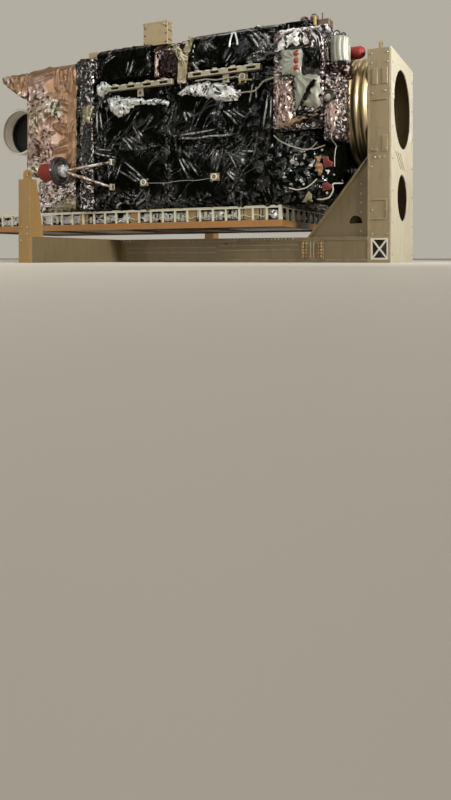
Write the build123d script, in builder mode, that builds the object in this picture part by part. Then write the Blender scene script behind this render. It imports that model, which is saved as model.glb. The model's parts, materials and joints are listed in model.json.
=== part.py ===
"""A large Earth-observing satellite in foil blankets, held in its L-shaped handling cradle.

Millimetres. X runs along the satellite towards the cradle's upright end plate, Y from the near
side to the far side and Z up. The origin is the middle of the whole thing on the floor.
"""

import os
from math import atan2, degrees, hypot

from build123d import *

os.makedirs("parts", exist_ok=True)

SIDES = (("near", -1), ("far", 1))

# Cradle base
FRAME_HALF = 650
BEAM_HEIGHT = 330
BEAM_WIDTH = 150
BEAM_WALL = 16
WEB_RECESS = 8
FLANGE_LIP = 40
CROSS_X0 = -900
CROSS_X1 = -720
CROSS_HALF = 2610
POST_CAP = 40
POST_TOP = 1040
POST_TOP_DEPTH = 120
POST_FOOT_DEPTH = 250
TIE_PLACES = (230, 1150, 2070)
TIE_WIDTH = 100
TIE_HEIGHT = 120
SPLICE_X0 = 2130
SPLICE_X1 = 2430
SPLICE_RIB = 30
SPLICE_RIB_DEPTH = 20

# Upright end plate
PLATE_X0 = 3000
PLATE_X1 = 3300
PLATE_TOP = 2680
SKIN = 20
UPPER_HOLE_Z = 2010
UPPER_HOLE_R = 530
LOWER_HOLE_Z = 850
LOWER_HOLE_R = 320
BAY_LOW = 40
BAY_HIGH = 310
BAY_BAR = 22

# Raised pads on the plate's side walls: x, z, width and height of each
PAD_DEPTH = 12
SIDE_PADS = (
    (3095, 2330, 60, 200),
    (3220, 2330, 60, 200),
    (3150, 2040, 190, 16),
    (3220, 1490, 60, 200),
    (3095, 1410, 60, 24),
    (3150, 790, 190, 14),
    (3150, 550, 190, 14),
    (3238, 670, 14, 226),
)

# Lifting lugs
LUG_THICKNESS = 30
LUG_BORE_R = 25
LUG_RISE = 60
LUG_HALF = 60
LUG_TOP_HALF = 26
LUG_SHOULDER = 80
PLATE_LUG_Y = 560

# Side braces of the end plate
BRACE_X0 = 2200
BRACE_TOP = 1350
BRACE_WEB = 20
BRACE_FLANGE = 120
BRACE_FLANGE_THICKNESS = 18
HAND_HOLE_X = 2830
HAND_HOLE_Z = 500
HAND_HOLE_HALF = 85
HAND_HOLE_RISE = 100

# Separation ring
RING_X0 = 2700
RING_Z = 2000
RING_R = 730
RING_INNER_R = 640
RING_FLANGE_HEIGHT = 26
RING_FLANGE_WIDTH = 72

# Spacecraft body
BODY_X0 = -1240
BODY_X1 = 2450
BODY_HALF = 1050
BODY_LOW = 740
BODY_HIGH = 2560
BODY_EDGE = 60
ROOF = 3050
SEAM_WIDTH = 16
SEAM_DEPTH = 10
SEAM_X = (330, 1300)
SEAM_Z = 1600
AFT_X1 = RING_X0
AFT_HALF = 850
AFT_LOW = 1150
AFT_HIGH = 2730

# Upper deck: name, x0, x1, half width and top of each module that stands on the body
UPPER_MODULES = (
    ("upper_box_forward", -1240, -860, 1050, 2985),
    ("upper_module_forward", -860, 40, 1050, 3050),
    ("upper_module_middle", 40, 700, 950, 3050),
    ("upper_module_aft", 700, 1950, 1050, 3050),
)

# Wrapped columns that stand proud where the hood meets the body
COLUMN_X0 = -1140
COLUMN_X1 = -895
COLUMN_LOW = 760
COLUMN_HIGH = 2960
COLUMN_DEPTH = 35
COLUMN_EDGE = 15

# Forked brackets beside the middle module
FORK_DEPTH = 40
FORK_OUTLINE = (
    (500, 2420),
    (640, 2420),
    (652, 2760),
    (750, 3015),
    (680, 3045),
    (580, 2850),
    (470, 2965),
    (410, 2905),
    (515, 2760),
)

# Instrument block at the aft end of the near side
BLOCK_X0 = 1950
BLOCK_X1 = 2600
BLOCK_Y0 = -1200
BLOCK_Y1 = -330
BLOCK_LOW = 1660
BLOCK_HIGH = 2870
BLOCK_SLOPE = 160
DECK_HIGH = 2950
CAP_R = 45
CAP_SIDES = 8
CAP_HEIGHT = 60
CAP_X = 2265
CAP_Z = (2393, 2480, 2567)

# Equipment in the notch of the aft bay, behind the instrument block
NOTCH_Y = -760
SIDE_BOX_X1 = 2800
SIDE_BOX_Y0 = -1180
SIDE_BOX_LOW = 1500
SIDE_BOX_HIGH = 2290
SHELF_X1 = 2850
SHELF_Y0 = -1060
SHELF_HIGH = 2460
DRUM_R = 125
DRUM_SIDES = 12
DRUM_X = 2730
DRUM_Y = -920
DRUM_HIGH = 2790
PORT_X = 2668
PORT_Z = 2000
PORT_R = 60
PORT_SIDES = 24
PORT_DEPTH = 50
AFT_CAP_R = 80
AFT_CAP_SIDES = 16
AFT_CAP_X1 = 2950
AFT_CAP_Y = -560
AFT_CAP_Z = 2680

# Forward copper section
HOOD_X0 = -2250
HOOD_LOW = 1250
HOOD_HIGH = 2950
HOOD_HALF = 1000
HOOD_END_HALF = 940
HOOD_END_LOW = 1330
VISOR_X0 = -2770
VISOR_HEEL_X = -2400
VISOR_HALF = 930
VISOR_HIGH = 2925
VISOR_TIP_LOW = 2830
VISOR_HEEL_LOW = 2560
SKIRT_X0 = -2050
SKIRT_HALF = 950

# Round baffle at the forward end, open towards the near side
BAFFLE_X = -2680
BAFFLE_Z = 2090
BAFFLE_R = 370
BAFFLE_LIP = 35
BAFFLE_CUP_R = 355
BAFFLE_WALL = 20
BAFFLE_MOUTH_Y = -650
BAFFLE_RIM_DEPTH = 40
BAFFLE_BACK_Y = -320
BAFFLE_ARM_Y0 = -560
BAFFLE_ARM_Y1 = -380
BAFFLE_ARM_RISE = 300

# Folded solar array under the body
ARRAY_X0 = -3300
ARRAY_X1 = 1980
ARRAY_HALF = 1000
PANEL_LOW = 465
PANEL_HIGH = 553
PANEL_RIM = 40
PANEL_POCKET = 25
PANEL_BAYS = 4
RAIL_THICKNESS = 30
RAIL_BAYS = 27
END_BAYS = 9
RAIL_POST = 24
RAIL_CHORD = 34
STACK_HIGH = 700
STACK_HALF = 930
STACK_END_GAP = 70
STACK_LEAVES = 5
STACK_GAP = 6
HINGE_LINES = (-2300, 0, 2300)
HINGE_LINE_WIDTH = 60
HINGE_LINE_INSET = 30
HOLDDOWN_X = (-2900, -2050, -1150, -250, 650, 1550)
HOLDDOWN_WIDTH = 150

# Rails along the near and far faces: x0, x1 and lower edge of each length, and its hanger's x
RAIL_SPANS = ((-630, 440, 2422, -90), (690, 1740, 2470, 1235))
RAIL_HEIGHT = 70
RAIL_DEPTH = 80
RAIL_SLOTS = 4
RAIL_BLOCK_WIDTH = 60
RAIL_BLOCK_HEIGHT = 22
HANGER_WIDTH = 90
HANGER_DROP = 110
HANGER_DEPTH = 40

# Antenna on its swinging boom
HINGE_X = -580
HINGE_Y = -1100
EYE_Z = (1070, 1425)
EYE_R = 22
EYE_HALF = 30
PIN_R = 8
PIN_GAP = 0.05
EAR_THICKNESS = 12
EAR_GAP = 1
EAR_HALF = 20
BRACKET_BASE = 12
HUB_X = -1250
HUB_Y = -1350
HUB_Z = 1300
HUB_R = 80
HUB_SIDES = 16
HUB_NOSE = 60
DISC_R = 205
DISC_X0 = -1320
DISC_RIM = 30
DISC_RECESS = 15
COVER_X0 = -1600
COVER_R = 125
COVER_SIDES = 16
ROD_R = 16
ROD_SIDES = 8

# Fittings on the near face: x, z
FITTINGS = ((-44, 1112), (1058, 1134), (1470, 2412))
FITTING_R = 45
FITTING_SIDES = 24
FITTING_DEPTH = 36
FITTING_PLATE = 14
FITTING_PLATE_WIDTH = 130
FITTING_PLATE_HEIGHT = 100

# Boxes on the roof: name, x0, x1, y0, y1, z0, z1
ROOF_BOXES = (
    ("roof_electronics_box", -150, 250, -920, -790, 3050, 3380),
    ("roof_tan_block", -1060, -880, -980, -800, 2985, 3065),
    ("roof_red_box", 2450, 2600, -960, -800, 2950, 3040),
    ("upper_box_aft", 1950, 2450, -1000, 1000, 2950, 3050),
)
BOX_EDGE = 8
KNOB_SIDES = 12

# What stands on a roof box: its name, shape, x, y, radius or half width, and rise
ROOF_STUBS = (
    ("roof_red_box", "mast", 2500, -920, 7, 90),
    ("upper_box_aft", "knob", 2255, -900, 50, 60),
    ("upper_box_aft", "knob", 2395, -920, 45, 80),
)


def across(y):
    """A sketch plane facing the near side, at y."""
    return Plane.XZ.offset(-y)


def along(x):
    """A sketch plane facing the end plate, at x."""
    return Plane.YZ.offset(x)


def above(z):
    """A level sketch plane at z."""
    return Plane.XY.offset(z)


def keep(piece, name):
    """Labels a finished piece and writes its file."""
    piece.label = name
    export_step(piece, f"parts/{name}.step")


def cut_corners(width, height, edge):
    """Draws a rectangle whose four corners are cut off at 45 degrees."""
    x = width / 2
    y = height / 2
    Polygon(
        (x - edge, y),
        (x, y - edge),
        (x, edge - y),
        (x - edge, -y),
        (edge - x, -y),
        (-x, edge - y),
        (-x, y - edge),
        (edge - x, y),
    )


def lug(y, base):
    """Draws a lifting lug that stands on a base, with its bore."""
    with Locations((y, base)):
        Polygon(
            (-LUG_HALF, 0),
            (-LUG_HALF, LUG_SHOULDER),
            (-LUG_TOP_HALF, LUG_RISE + LUG_HALF),
            (LUG_TOP_HALF, LUG_RISE + LUG_HALF),
            (LUG_HALF, LUG_SHOULDER),
            (LUG_HALF, 0),
            align=None,
        )
    with Locations((y, base + LUG_RISE)):
        Circle(LUG_BORE_R, mode=Mode.SUBTRACT)


def outward(sign, start, depth):
    """The y from which a piece that stands on a long face is drawn towards the near side."""
    return max(sign * start, sign * (start + depth))


# Long beams of the base: box sections whose outer web is set back between two lips
for side, sign in SIDES:
    middle = sign * (FRAME_HALF - BEAM_WIDTH / 2)
    with BuildPart() as long_beam:
        with BuildSketch(along(CROSS_X1)):
            with Locations((middle, BEAM_HEIGHT / 2)):
                Rectangle(BEAM_WIDTH, BEAM_HEIGHT)
                Rectangle(
                    BEAM_WIDTH - 2 * BEAM_WALL,
                    BEAM_HEIGHT - 2 * BEAM_WALL,
                    mode=Mode.SUBTRACT,
                )
            with Locations((sign * (FRAME_HALF - WEB_RECESS / 2), BEAM_HEIGHT / 2)):
                Rectangle(WEB_RECESS, BEAM_HEIGHT - 2 * FLANGE_LIP, mode=Mode.SUBTRACT)
        extrude(amount=PLATE_X0 - CROSS_X1)
    keep(long_beam.part, f"base_long_beam_{side}")

# Splices: a plate that fills the beam's recess, with a rib at each end
with BuildPart() as splices:
    for side, sign in SIDES:
        with BuildSketch(across(outward(sign, FRAME_HALF - WEB_RECESS, WEB_RECESS))):
            with Locations(((SPLICE_X0 + SPLICE_X1) / 2, BEAM_HEIGHT / 2)):
                Rectangle(SPLICE_X1 - SPLICE_X0, BEAM_HEIGHT - 2 * FLANGE_LIP)
        extrude(amount=WEB_RECESS)
        with BuildSketch(across(outward(sign, FRAME_HALF, SPLICE_RIB_DEPTH))):
            for x in (SPLICE_X0 + SPLICE_RIB / 2, SPLICE_X1 - SPLICE_RIB / 2):
                with Locations((x, BEAM_HEIGHT / 2)):
                    Rectangle(SPLICE_RIB, BEAM_HEIGHT - 2 * FLANGE_LIP)
        extrude(amount=SPLICE_RIB_DEPTH)
keep(splices.part, "base_splices")

# Cross beam, the outrigger that carries the two lift posts
cross_middle = (CROSS_X0 + CROSS_X1) / 2
with BuildPart() as cross_beam:
    with BuildSketch(across(0)):
        with Locations((cross_middle, BEAM_HEIGHT / 2)):
            Rectangle(CROSS_X1 - CROSS_X0, BEAM_HEIGHT)
            Rectangle(
                CROSS_X1 - CROSS_X0 - 2 * BEAM_WALL,
                BEAM_HEIGHT - 2 * BEAM_WALL,
                mode=Mode.SUBTRACT,
            )
        with Locations((CROSS_X0 + WEB_RECESS / 2, BEAM_HEIGHT / 2)):
            Rectangle(WEB_RECESS, BEAM_HEIGHT - 2 * FLANGE_LIP, mode=Mode.SUBTRACT)
    extrude(amount=CROSS_HALF - POST_CAP, both=True)
keep(cross_beam.part, "base_cross_beam")

# Ties between the long beams, hollow like them
for number, x in enumerate(TIE_PLACES, 1):
    with BuildPart() as tie:
        with BuildSketch(across(0)):
            with Locations((x, TIE_HEIGHT / 2)):
                Rectangle(TIE_WIDTH, TIE_HEIGHT)
                Rectangle(TIE_WIDTH - BEAM_WALL, TIE_HEIGHT - BEAM_WALL, mode=Mode.SUBTRACT)
        extrude(amount=FRAME_HALF - BEAM_WIDTH, both=True)
    keep(tie.part, f"base_tie_{number}")

# Lift posts: each covers its end of the cross beam and flares down onto the beam's top
for side, sign in SIDES:
    outer = sign * CROSS_HALF
    with BuildPart() as lift_post:
        with BuildSketch(along(CROSS_X0)):
            with BuildLine():
                Polyline(
                    (outer, 0),
                    (outer, POST_TOP),
                    (outer - sign * POST_TOP_DEPTH, POST_TOP),
                    (outer - sign * POST_FOOT_DEPTH, BEAM_HEIGHT),
                    (outer - sign * POST_CAP, BEAM_HEIGHT),
                    (outer - sign * POST_CAP, 0),
                    close=True,
                )
            make_face()
        extrude(amount=CROSS_X1 - CROSS_X0)
        with BuildSketch(along(cross_middle - LUG_THICKNESS / 2)):
            lug(outer - sign * LUG_HALF, POST_TOP)
        extrude(amount=LUG_THICKNESS)
    keep(lift_post.part, f"lift_post_{side}")

# End plate: two skins with the same round openings, side walls with pads and a bay, and a top
for name, x in (("inner", PLATE_X0), ("outer", PLATE_X1 - SKIN)):
    with BuildPart() as plate_skin:
        with BuildSketch(along(x)):
            with Locations((0, PLATE_TOP / 2)):
                Rectangle(2 * FRAME_HALF, PLATE_TOP)
            with Locations((0, UPPER_HOLE_Z)):
                Circle(UPPER_HOLE_R, mode=Mode.SUBTRACT)
            with Locations((0, LOWER_HOLE_Z)):
                Circle(LOWER_HOLE_R, mode=Mode.SUBTRACT)
        extrude(amount=SKIN)
    keep(plate_skin.part, f"end_plate_{name}_skin")

wall_x0 = PLATE_X0 + SKIN
wall_x1 = PLATE_X1 - SKIN
wall_middle = (wall_x0 + wall_x1) / 2
bay_width = wall_x1 - wall_x0 - 2 * SKIN
bay_height = BAY_HIGH - BAY_LOW
bay_middle = (BAY_LOW + BAY_HIGH) / 2
for side, sign in SIDES:
    with BuildPart() as side_wall:
        with BuildSketch(across(outward(sign, FRAME_HALF - SKIN, SKIN))):
            with Locations((wall_middle, PLATE_TOP / 2)):
                Rectangle(wall_x1 - wall_x0, PLATE_TOP)
            with Locations((wall_middle, bay_middle)):
                Rectangle(bay_width, bay_height, mode=Mode.SUBTRACT)
        extrude(amount=SKIN)
        with BuildSketch(across(outward(sign, FRAME_HALF, PAD_DEPTH))):
            for x, z, width, height in SIDE_PADS:
                with Locations((x, z)):
                    Rectangle(width, height)
        extrude(amount=PAD_DEPTH)
    keep(side_wall.part, f"end_plate_side_{side}")

# Bay frames: a square frame with crossed bars in the foot of each side wall
inner_width = bay_width - 2 * BAY_BAR
inner_height = bay_height - 2 * BAY_BAR
bar_angle = degrees(atan2(inner_height, inner_width))
bar_length = hypot(inner_height, inner_width)
with BuildPart() as bay_frames:
    for side, sign in SIDES:
        with BuildSketch(across(outward(sign, FRAME_HALF - SKIN, SKIN))):
            with Locations((wall_middle, bay_middle)):
                Rectangle(bay_width, bay_height)
                Rectangle(inner_width, inner_height, mode=Mode.SUBTRACT)
                Rectangle(bar_length, BAY_BAR, rotation=bar_angle)
                Rectangle(bar_length, BAY_BAR, rotation=-bar_angle)
        extrude(amount=SKIN)
keep(bay_frames.part, "end_plate_bay_frames")

with BuildPart() as plate_top:
    with BuildSketch(above(PLATE_TOP - SKIN)):
        with Locations((wall_middle, 0)):
            Rectangle(wall_x1 - wall_x0, 2 * (FRAME_HALF - SKIN))
    extrude(amount=SKIN)
    with BuildSketch(along(wall_middle - LUG_THICKNESS / 2)):
        for sign in (-1, 1):
            lug(sign * PLATE_LUG_Y, PLATE_TOP)
    extrude(amount=LUG_THICKNESS)
keep(plate_top.part, "end_plate_top")

# Side braces: a web with a hand hole, and a flange along its slope
slope_run = PLATE_X0 - BRACE_X0
slope_rise = BRACE_TOP - BEAM_HEIGHT
flange_dx = BRACE_FLANGE_THICKNESS * hypot(slope_run, slope_rise) / slope_rise
for side, sign in SIDES:
    brace_y = sign * (FRAME_HALF - BEAM_WIDTH / 2)
    with BuildPart() as side_brace:
        with BuildSketch(across(brace_y)):
            with BuildLine():
                Polyline(
                    (BRACE_X0, BEAM_HEIGHT),
                    (PLATE_X0, BEAM_HEIGHT),
                    (PLATE_X0, BRACE_TOP),
                    close=True,
                )
            make_face()
            with BuildLine():
                Line(
                    (HAND_HOLE_X - HAND_HOLE_HALF, HAND_HOLE_Z),
                    (HAND_HOLE_X + HAND_HOLE_HALF, HAND_HOLE_Z),
                )
                ThreePointArc(
                    (HAND_HOLE_X + HAND_HOLE_HALF, HAND_HOLE_Z),
                    (HAND_HOLE_X, HAND_HOLE_Z + HAND_HOLE_RISE),
                    (HAND_HOLE_X - HAND_HOLE_HALF, HAND_HOLE_Z),
                )
            make_face(mode=Mode.SUBTRACT)
        extrude(amount=BRACE_WEB / 2, both=True)
        with BuildSketch(across(brace_y)):
            with BuildLine():
                Polyline(
                    (BRACE_X0, BEAM_HEIGHT),
                    (BRACE_X0 + flange_dx, BEAM_HEIGHT),
                    (PLATE_X0, BRACE_TOP - flange_dx * slope_rise / slope_run),
                    (PLATE_X0, BRACE_TOP),
                    close=True,
                )
            make_face()
        extrude(amount=BRACE_FLANGE / 2, both=True)
    keep(side_brace.part, f"end_plate_brace_{side}")

# Separation ring: a short tube with a broad flange at each end
with BuildPart() as ring:
    with BuildSketch(along(RING_X0)):
        with Locations((0, RING_Z)):
            Circle(RING_R - RING_FLANGE_HEIGHT)
            Circle(RING_INNER_R, mode=Mode.SUBTRACT)
    extrude(amount=PLATE_X0 - RING_X0)
    for x in (RING_X0, PLATE_X0 - RING_FLANGE_WIDTH):
        with BuildSketch(along(x)):
            with Locations((0, RING_Z)):
                Circle(RING_R)
                Circle(RING_INNER_R, mode=Mode.SUBTRACT)
        extrude(amount=RING_FLANGE_WIDTH)
keep(ring.part, "separation_ring")

# Main body: a blanket-wrapped box with soft edges, seams, and a pocket for the instrument block
body_middle = (BODY_LOW + BODY_HIGH) / 2
with BuildPart() as body:
    with BuildSketch(along(BODY_X0)):
        with Locations((0, body_middle)):
            cut_corners(2 * BODY_HALF, BODY_HIGH - BODY_LOW, BODY_EDGE)
    extrude(amount=BODY_X1 - BODY_X0)
    with BuildSketch(across(BLOCK_Y1)):
        with Locations(((BLOCK_X0 + BLOCK_X1) / 2, (BLOCK_LOW + ROOF) / 2)):
            Rectangle(BLOCK_X1 - BLOCK_X0, ROOF - BLOCK_LOW)
    extrude(amount=BODY_HALF, mode=Mode.SUBTRACT)
    for sign in (-1, 1):
        with BuildSketch(across(sign * BODY_HALF)):
            for x in SEAM_X:
                with Locations((x, body_middle)):
                    Rectangle(SEAM_WIDTH, BODY_HIGH - BODY_LOW)
            with Locations(((BODY_X0 + BODY_X1) / 2, SEAM_Z)):
                Rectangle(BODY_X1 - BODY_X0, SEAM_WIDTH)
        extrude(amount=SEAM_DEPTH, both=True, mode=Mode.SUBTRACT)
keep(body.part, "bus_body")

# Aft bay: draws in from the body to the separation ring, with a notch for the near equipment
with BuildPart() as aft_bay:
    with BuildSketch(along(BODY_X1)):
        with Locations((0, body_middle)):
            cut_corners(2 * BODY_HALF, BODY_HIGH - BODY_LOW, BODY_EDGE)
    with BuildSketch(along(AFT_X1)):
        with Locations((0, (AFT_LOW + AFT_HIGH) / 2)):
            cut_corners(2 * AFT_HALF, AFT_HIGH - AFT_LOW, BODY_EDGE)
    loft(ruled=True)
    with BuildSketch(across(BLOCK_Y1)):
        with Locations(((BLOCK_X0 + BLOCK_X1) / 2, (BLOCK_LOW + ROOF) / 2)):
            Rectangle(BLOCK_X1 - BLOCK_X0, ROOF - BLOCK_LOW)
    extrude(amount=BODY_HALF, mode=Mode.SUBTRACT)
    with BuildSketch(across(NOTCH_Y)):
        with Locations(((BLOCK_X1 + AFT_X1) / 2, (SIDE_BOX_LOW + ROOF) / 2)):
            Rectangle(AFT_X1 - BLOCK_X1, ROOF - SIDE_BOX_LOW)
    extrude(amount=BODY_HALF, mode=Mode.SUBTRACT)
keep(aft_bay.part, "aft_bay")

# Upper modules: padded boxes along the top of the body
for name, x0, x1, half, top in UPPER_MODULES:
    with BuildPart() as module:
        with BuildSketch(along(x0)):
            with Locations((0, (BODY_HIGH + top) / 2)):
                cut_corners(2 * half, top - BODY_HIGH, BODY_EDGE)
        extrude(amount=x1 - x0)
    keep(module.part, name)

# Wrapped columns on both long faces, and the forked brackets beside the middle module
with BuildPart() as columns:
    for side, sign in SIDES:
        with BuildSketch(across(outward(sign, BODY_HALF, COLUMN_DEPTH))):
            with Locations(((COLUMN_X0 + COLUMN_X1) / 2, (COLUMN_LOW + COLUMN_HIGH) / 2)):
                Rectangle(COLUMN_X1 - COLUMN_X0, COLUMN_HIGH - COLUMN_LOW)
        extrude(amount=COLUMN_DEPTH)
    uprights = columns.edges().filter_by(Axis.Z).group_by(Axis.Y)
    chamfer(uprights[0] + uprights[-1], COLUMN_EDGE)
keep(columns.part, "forward_columns")

with BuildPart() as forks:
    for side, sign in SIDES:
        with BuildSketch(across(outward(sign, BODY_HALF, FORK_DEPTH))):
            with BuildLine():
                Polyline(*FORK_OUTLINE, close=True)
            make_face()
        extrude(amount=FORK_DEPTH)
keep(forks.part, "module_brackets")

# Upper bay behind the instrument block, and the deck over both
with BuildPart() as upper_bay:
    with BuildSketch(above(BODY_HIGH)):
        with Locations(((BLOCK_X0 + BODY_X1) / 2, (BLOCK_Y1 + BODY_HALF) / 2)):
            Rectangle(BODY_X1 - BLOCK_X0, BODY_HALF - BLOCK_Y1)
    extrude(amount=BLOCK_HIGH - BODY_HIGH)
keep(upper_bay.part, "upper_bay_aft")

with BuildPart() as deck:
    with BuildSketch(across(0)):
        with BuildLine():
            Polyline(
                (BLOCK_X0, BLOCK_HIGH),
                (BLOCK_X0, DECK_HIGH),
                (BLOCK_X1, DECK_HIGH),
                (BLOCK_X1, BLOCK_HIGH),
                close=True,
            )
        make_face()
    extrude(amount=BODY_HALF, both=True)
keep(deck.part, "aft_deck")

# Instrument block: its aft top corner slopes
with BuildPart() as block:
    with BuildSketch(across(BLOCK_Y1)):
        with BuildLine():
            Polyline(
                (BLOCK_X0, BLOCK_LOW),
                (BLOCK_X0, BLOCK_HIGH),
                (BLOCK_X1 - BLOCK_SLOPE / 2, BLOCK_HIGH),
                (BLOCK_X1, BLOCK_HIGH - BLOCK_SLOPE),
                (BLOCK_X1, BLOCK_LOW),
                close=True,
            )
        make_face()
    extrude(amount=BLOCK_Y1 - BLOCK_Y0)
keep(block.part, "instrument_block")

with BuildPart() as caps:
    with BuildSketch(across(BLOCK_Y0)):
        for z in CAP_Z:
            with Locations((CAP_X, z)):
                RegularPolygon(CAP_R, CAP_SIDES)
    extrude(amount=CAP_HEIGHT)
keep(caps.part, "instrument_red_caps")

# Behind the block: a box with a round port, a shelf over it and an upright drum on the shelf
with BuildPart() as side_box:
    with BuildSketch(across(NOTCH_Y)):
        with Locations(((BLOCK_X1 + SIDE_BOX_X1) / 2, (SIDE_BOX_LOW + SIDE_BOX_HIGH) / 2)):
            Rectangle(SIDE_BOX_X1 - BLOCK_X1, SIDE_BOX_HIGH - SIDE_BOX_LOW)
    extrude(amount=NOTCH_Y - SIDE_BOX_Y0)
keep(side_box.part, "aft_side_box")

with BuildPart() as port:
    with BuildSketch(across(SIDE_BOX_Y0)):
        with Locations((PORT_X, PORT_Z)):
            RegularPolygon(PORT_R, PORT_SIDES)
    extrude(amount=PORT_DEPTH)
keep(port.part, "instrument_port")

with BuildPart() as shelf:
    with BuildSketch(across(NOTCH_Y)):
        with Locations(((BLOCK_X1 + SHELF_X1) / 2, (SIDE_BOX_HIGH + SHELF_HIGH) / 2)):
            Rectangle(SHELF_X1 - BLOCK_X1, SHELF_HIGH - SIDE_BOX_HIGH)
    extrude(amount=NOTCH_Y - SHELF_Y0)
keep(shelf.part, "aft_shelf")

with BuildPart() as drum:
    with BuildSketch(above(SHELF_HIGH)):
        with Locations((DRUM_X, DRUM_Y)):
            RegularPolygon(DRUM_R, DRUM_SIDES)
    extrude(amount=DRUM_HIGH - SHELF_HIGH)
keep(drum.part, "aft_drum")

with BuildPart() as aft_cap:
    with BuildSketch(along(AFT_X1)):
        with Locations((AFT_CAP_Y, AFT_CAP_Z)):
            RegularPolygon(AFT_CAP_R, AFT_CAP_SIDES)
    extrude(amount=AFT_CAP_X1 - AFT_X1)
keep(aft_cap.part, "aft_red_cap")

# Copper hood: draws in a little towards the forward end
with BuildPart() as hood:
    with BuildSketch(along(HOOD_X0)):
        with Locations((0, (HOOD_END_LOW + HOOD_HIGH) / 2)):
            cut_corners(2 * HOOD_END_HALF, HOOD_HIGH - HOOD_END_LOW, BODY_EDGE)
    with BuildSketch(along(BODY_X0)):
        with Locations((0, (HOOD_LOW + HOOD_HIGH) / 2)):
            cut_corners(2 * HOOD_HALF, HOOD_HIGH - HOOD_LOW, BODY_EDGE)
    loft(ruled=True)
keep(hood.part, "copper_hood")

# Visor: a wedge that reaches out over the forward end
with BuildPart() as visor:
    with BuildSketch(across(0)):
        with BuildLine():
            Polyline(
                (HOOD_X0, VISOR_HIGH),
                (VISOR_X0, VISOR_HIGH),
                (VISOR_X0, VISOR_TIP_LOW),
                (VISOR_HEEL_X, VISOR_HEEL_LOW),
                (HOOD_X0, VISOR_HEEL_LOW),
                close=True,
            )
        make_face()
    extrude(amount=VISOR_HALF, both=True)
keep(visor.part, "copper_visor")

# Lower foil skirt under the hood
with BuildPart() as skirt:
    with BuildSketch(along(SKIRT_X0)):
        with Locations((0, (BODY_LOW + HOOD_LOW) / 2)):
            cut_corners(2 * SKIRT_HALF, HOOD_LOW - BODY_LOW, BODY_EDGE)
    extrude(amount=BODY_X0 - SKIRT_X0)
keep(skirt.part, "lower_foil_skirt")

# Baffle: an open cup on an arm from the hood, with a lipped rim round its mouth
cup_depth = BAFFLE_BACK_Y - BAFFLE_MOUTH_Y - BAFFLE_RIM_DEPTH
with BuildPart() as cup:
    with BuildSketch(across(BAFFLE_BACK_Y)):
        with Locations((BAFFLE_X, BAFFLE_Z)):
            Circle(BAFFLE_CUP_R)
    extrude(amount=cup_depth)
    with BuildSketch(across(BAFFLE_ARM_Y1)):
        with Locations(((BAFFLE_X + HOOD_X0) / 2, BAFFLE_Z)):
            Rectangle(HOOD_X0 - BAFFLE_X, BAFFLE_ARM_RISE)
    extrude(amount=BAFFLE_ARM_Y1 - BAFFLE_ARM_Y0)
    with BuildSketch(across(BAFFLE_BACK_Y - BAFFLE_WALL)):
        with Locations((BAFFLE_X, BAFFLE_Z)):
            Circle(BAFFLE_CUP_R - BAFFLE_WALL)
    extrude(amount=cup_depth - BAFFLE_WALL, mode=Mode.SUBTRACT)
keep(cup.part, "baffle_cup")

with BuildPart() as rim:
    with BuildSketch(across(BAFFLE_MOUTH_Y + BAFFLE_RIM_DEPTH)):
        with Locations((BAFFLE_X, BAFFLE_Z)):
            Circle(BAFFLE_R)
            Circle(BAFFLE_R - BAFFLE_LIP, mode=Mode.SUBTRACT)
    extrude(amount=BAFFLE_RIM_DEPTH)
keep(rim.part, "baffle_rim")

# Solar array: a ribbed panel, its folded stack, and rails with posts all round
array_length = ARRAY_X1 - ARRAY_X0
array_middle = (ARRAY_X0 + ARRAY_X1) / 2
bay_length = (array_length - (PANEL_BAYS + 1) * PANEL_RIM) / PANEL_BAYS
with BuildPart() as panel:
    with BuildSketch(above(PANEL_LOW)):
        with Locations((array_middle, 0)):
            Rectangle(array_length, 2 * ARRAY_HALF)
    extrude(amount=PANEL_HIGH - PANEL_LOW)
    with BuildSketch(above(PANEL_LOW)):
        with Locations((array_middle, 0)):
            with GridLocations(bay_length + PANEL_RIM, 1, PANEL_BAYS, 1):
                Rectangle(bay_length, 2 * (ARRAY_HALF - PANEL_RIM))
    extrude(amount=PANEL_POCKET, mode=Mode.SUBTRACT)
keep(panel.part, "array_panel")

leaf_pitch = (STACK_HIGH - PANEL_HIGH + STACK_GAP) / STACK_LEAVES
with BuildPart() as stack:
    for number in range(STACK_LEAVES):
        with BuildSketch(above(PANEL_HIGH + number * leaf_pitch)):
            with Locations((array_middle, 0)):
                Rectangle(array_length - 2 * STACK_END_GAP, 2 * STACK_HALF)
        extrude(amount=leaf_pitch - STACK_GAP)
    with BuildSketch(above(PANEL_HIGH)):
        for x in HINGE_LINES:
            with Locations((array_middle + x, 0)):
                Rectangle(HINGE_LINE_WIDTH, 2 * (STACK_HALF - HINGE_LINE_INSET))
    extrude(amount=STACK_HIGH - PANEL_HIGH)
keep(stack.part, "array_stack")

# Hold-downs between the stack and the side rails
with BuildPart() as holddowns:
    for side, sign in SIDES:
        with BuildSketch(above(PANEL_HIGH)):
            for x in HOLDDOWN_X:
                with Locations((x, sign * (STACK_HALF + ARRAY_HALF - RAIL_THICKNESS) / 2)):
                    Rectangle(HOLDDOWN_WIDTH, ARRAY_HALF - RAIL_THICKNESS - STACK_HALF)
        extrude(amount=STACK_HIGH - PANEL_HIGH)
keep(holddowns.part, "array_holddowns")

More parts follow.
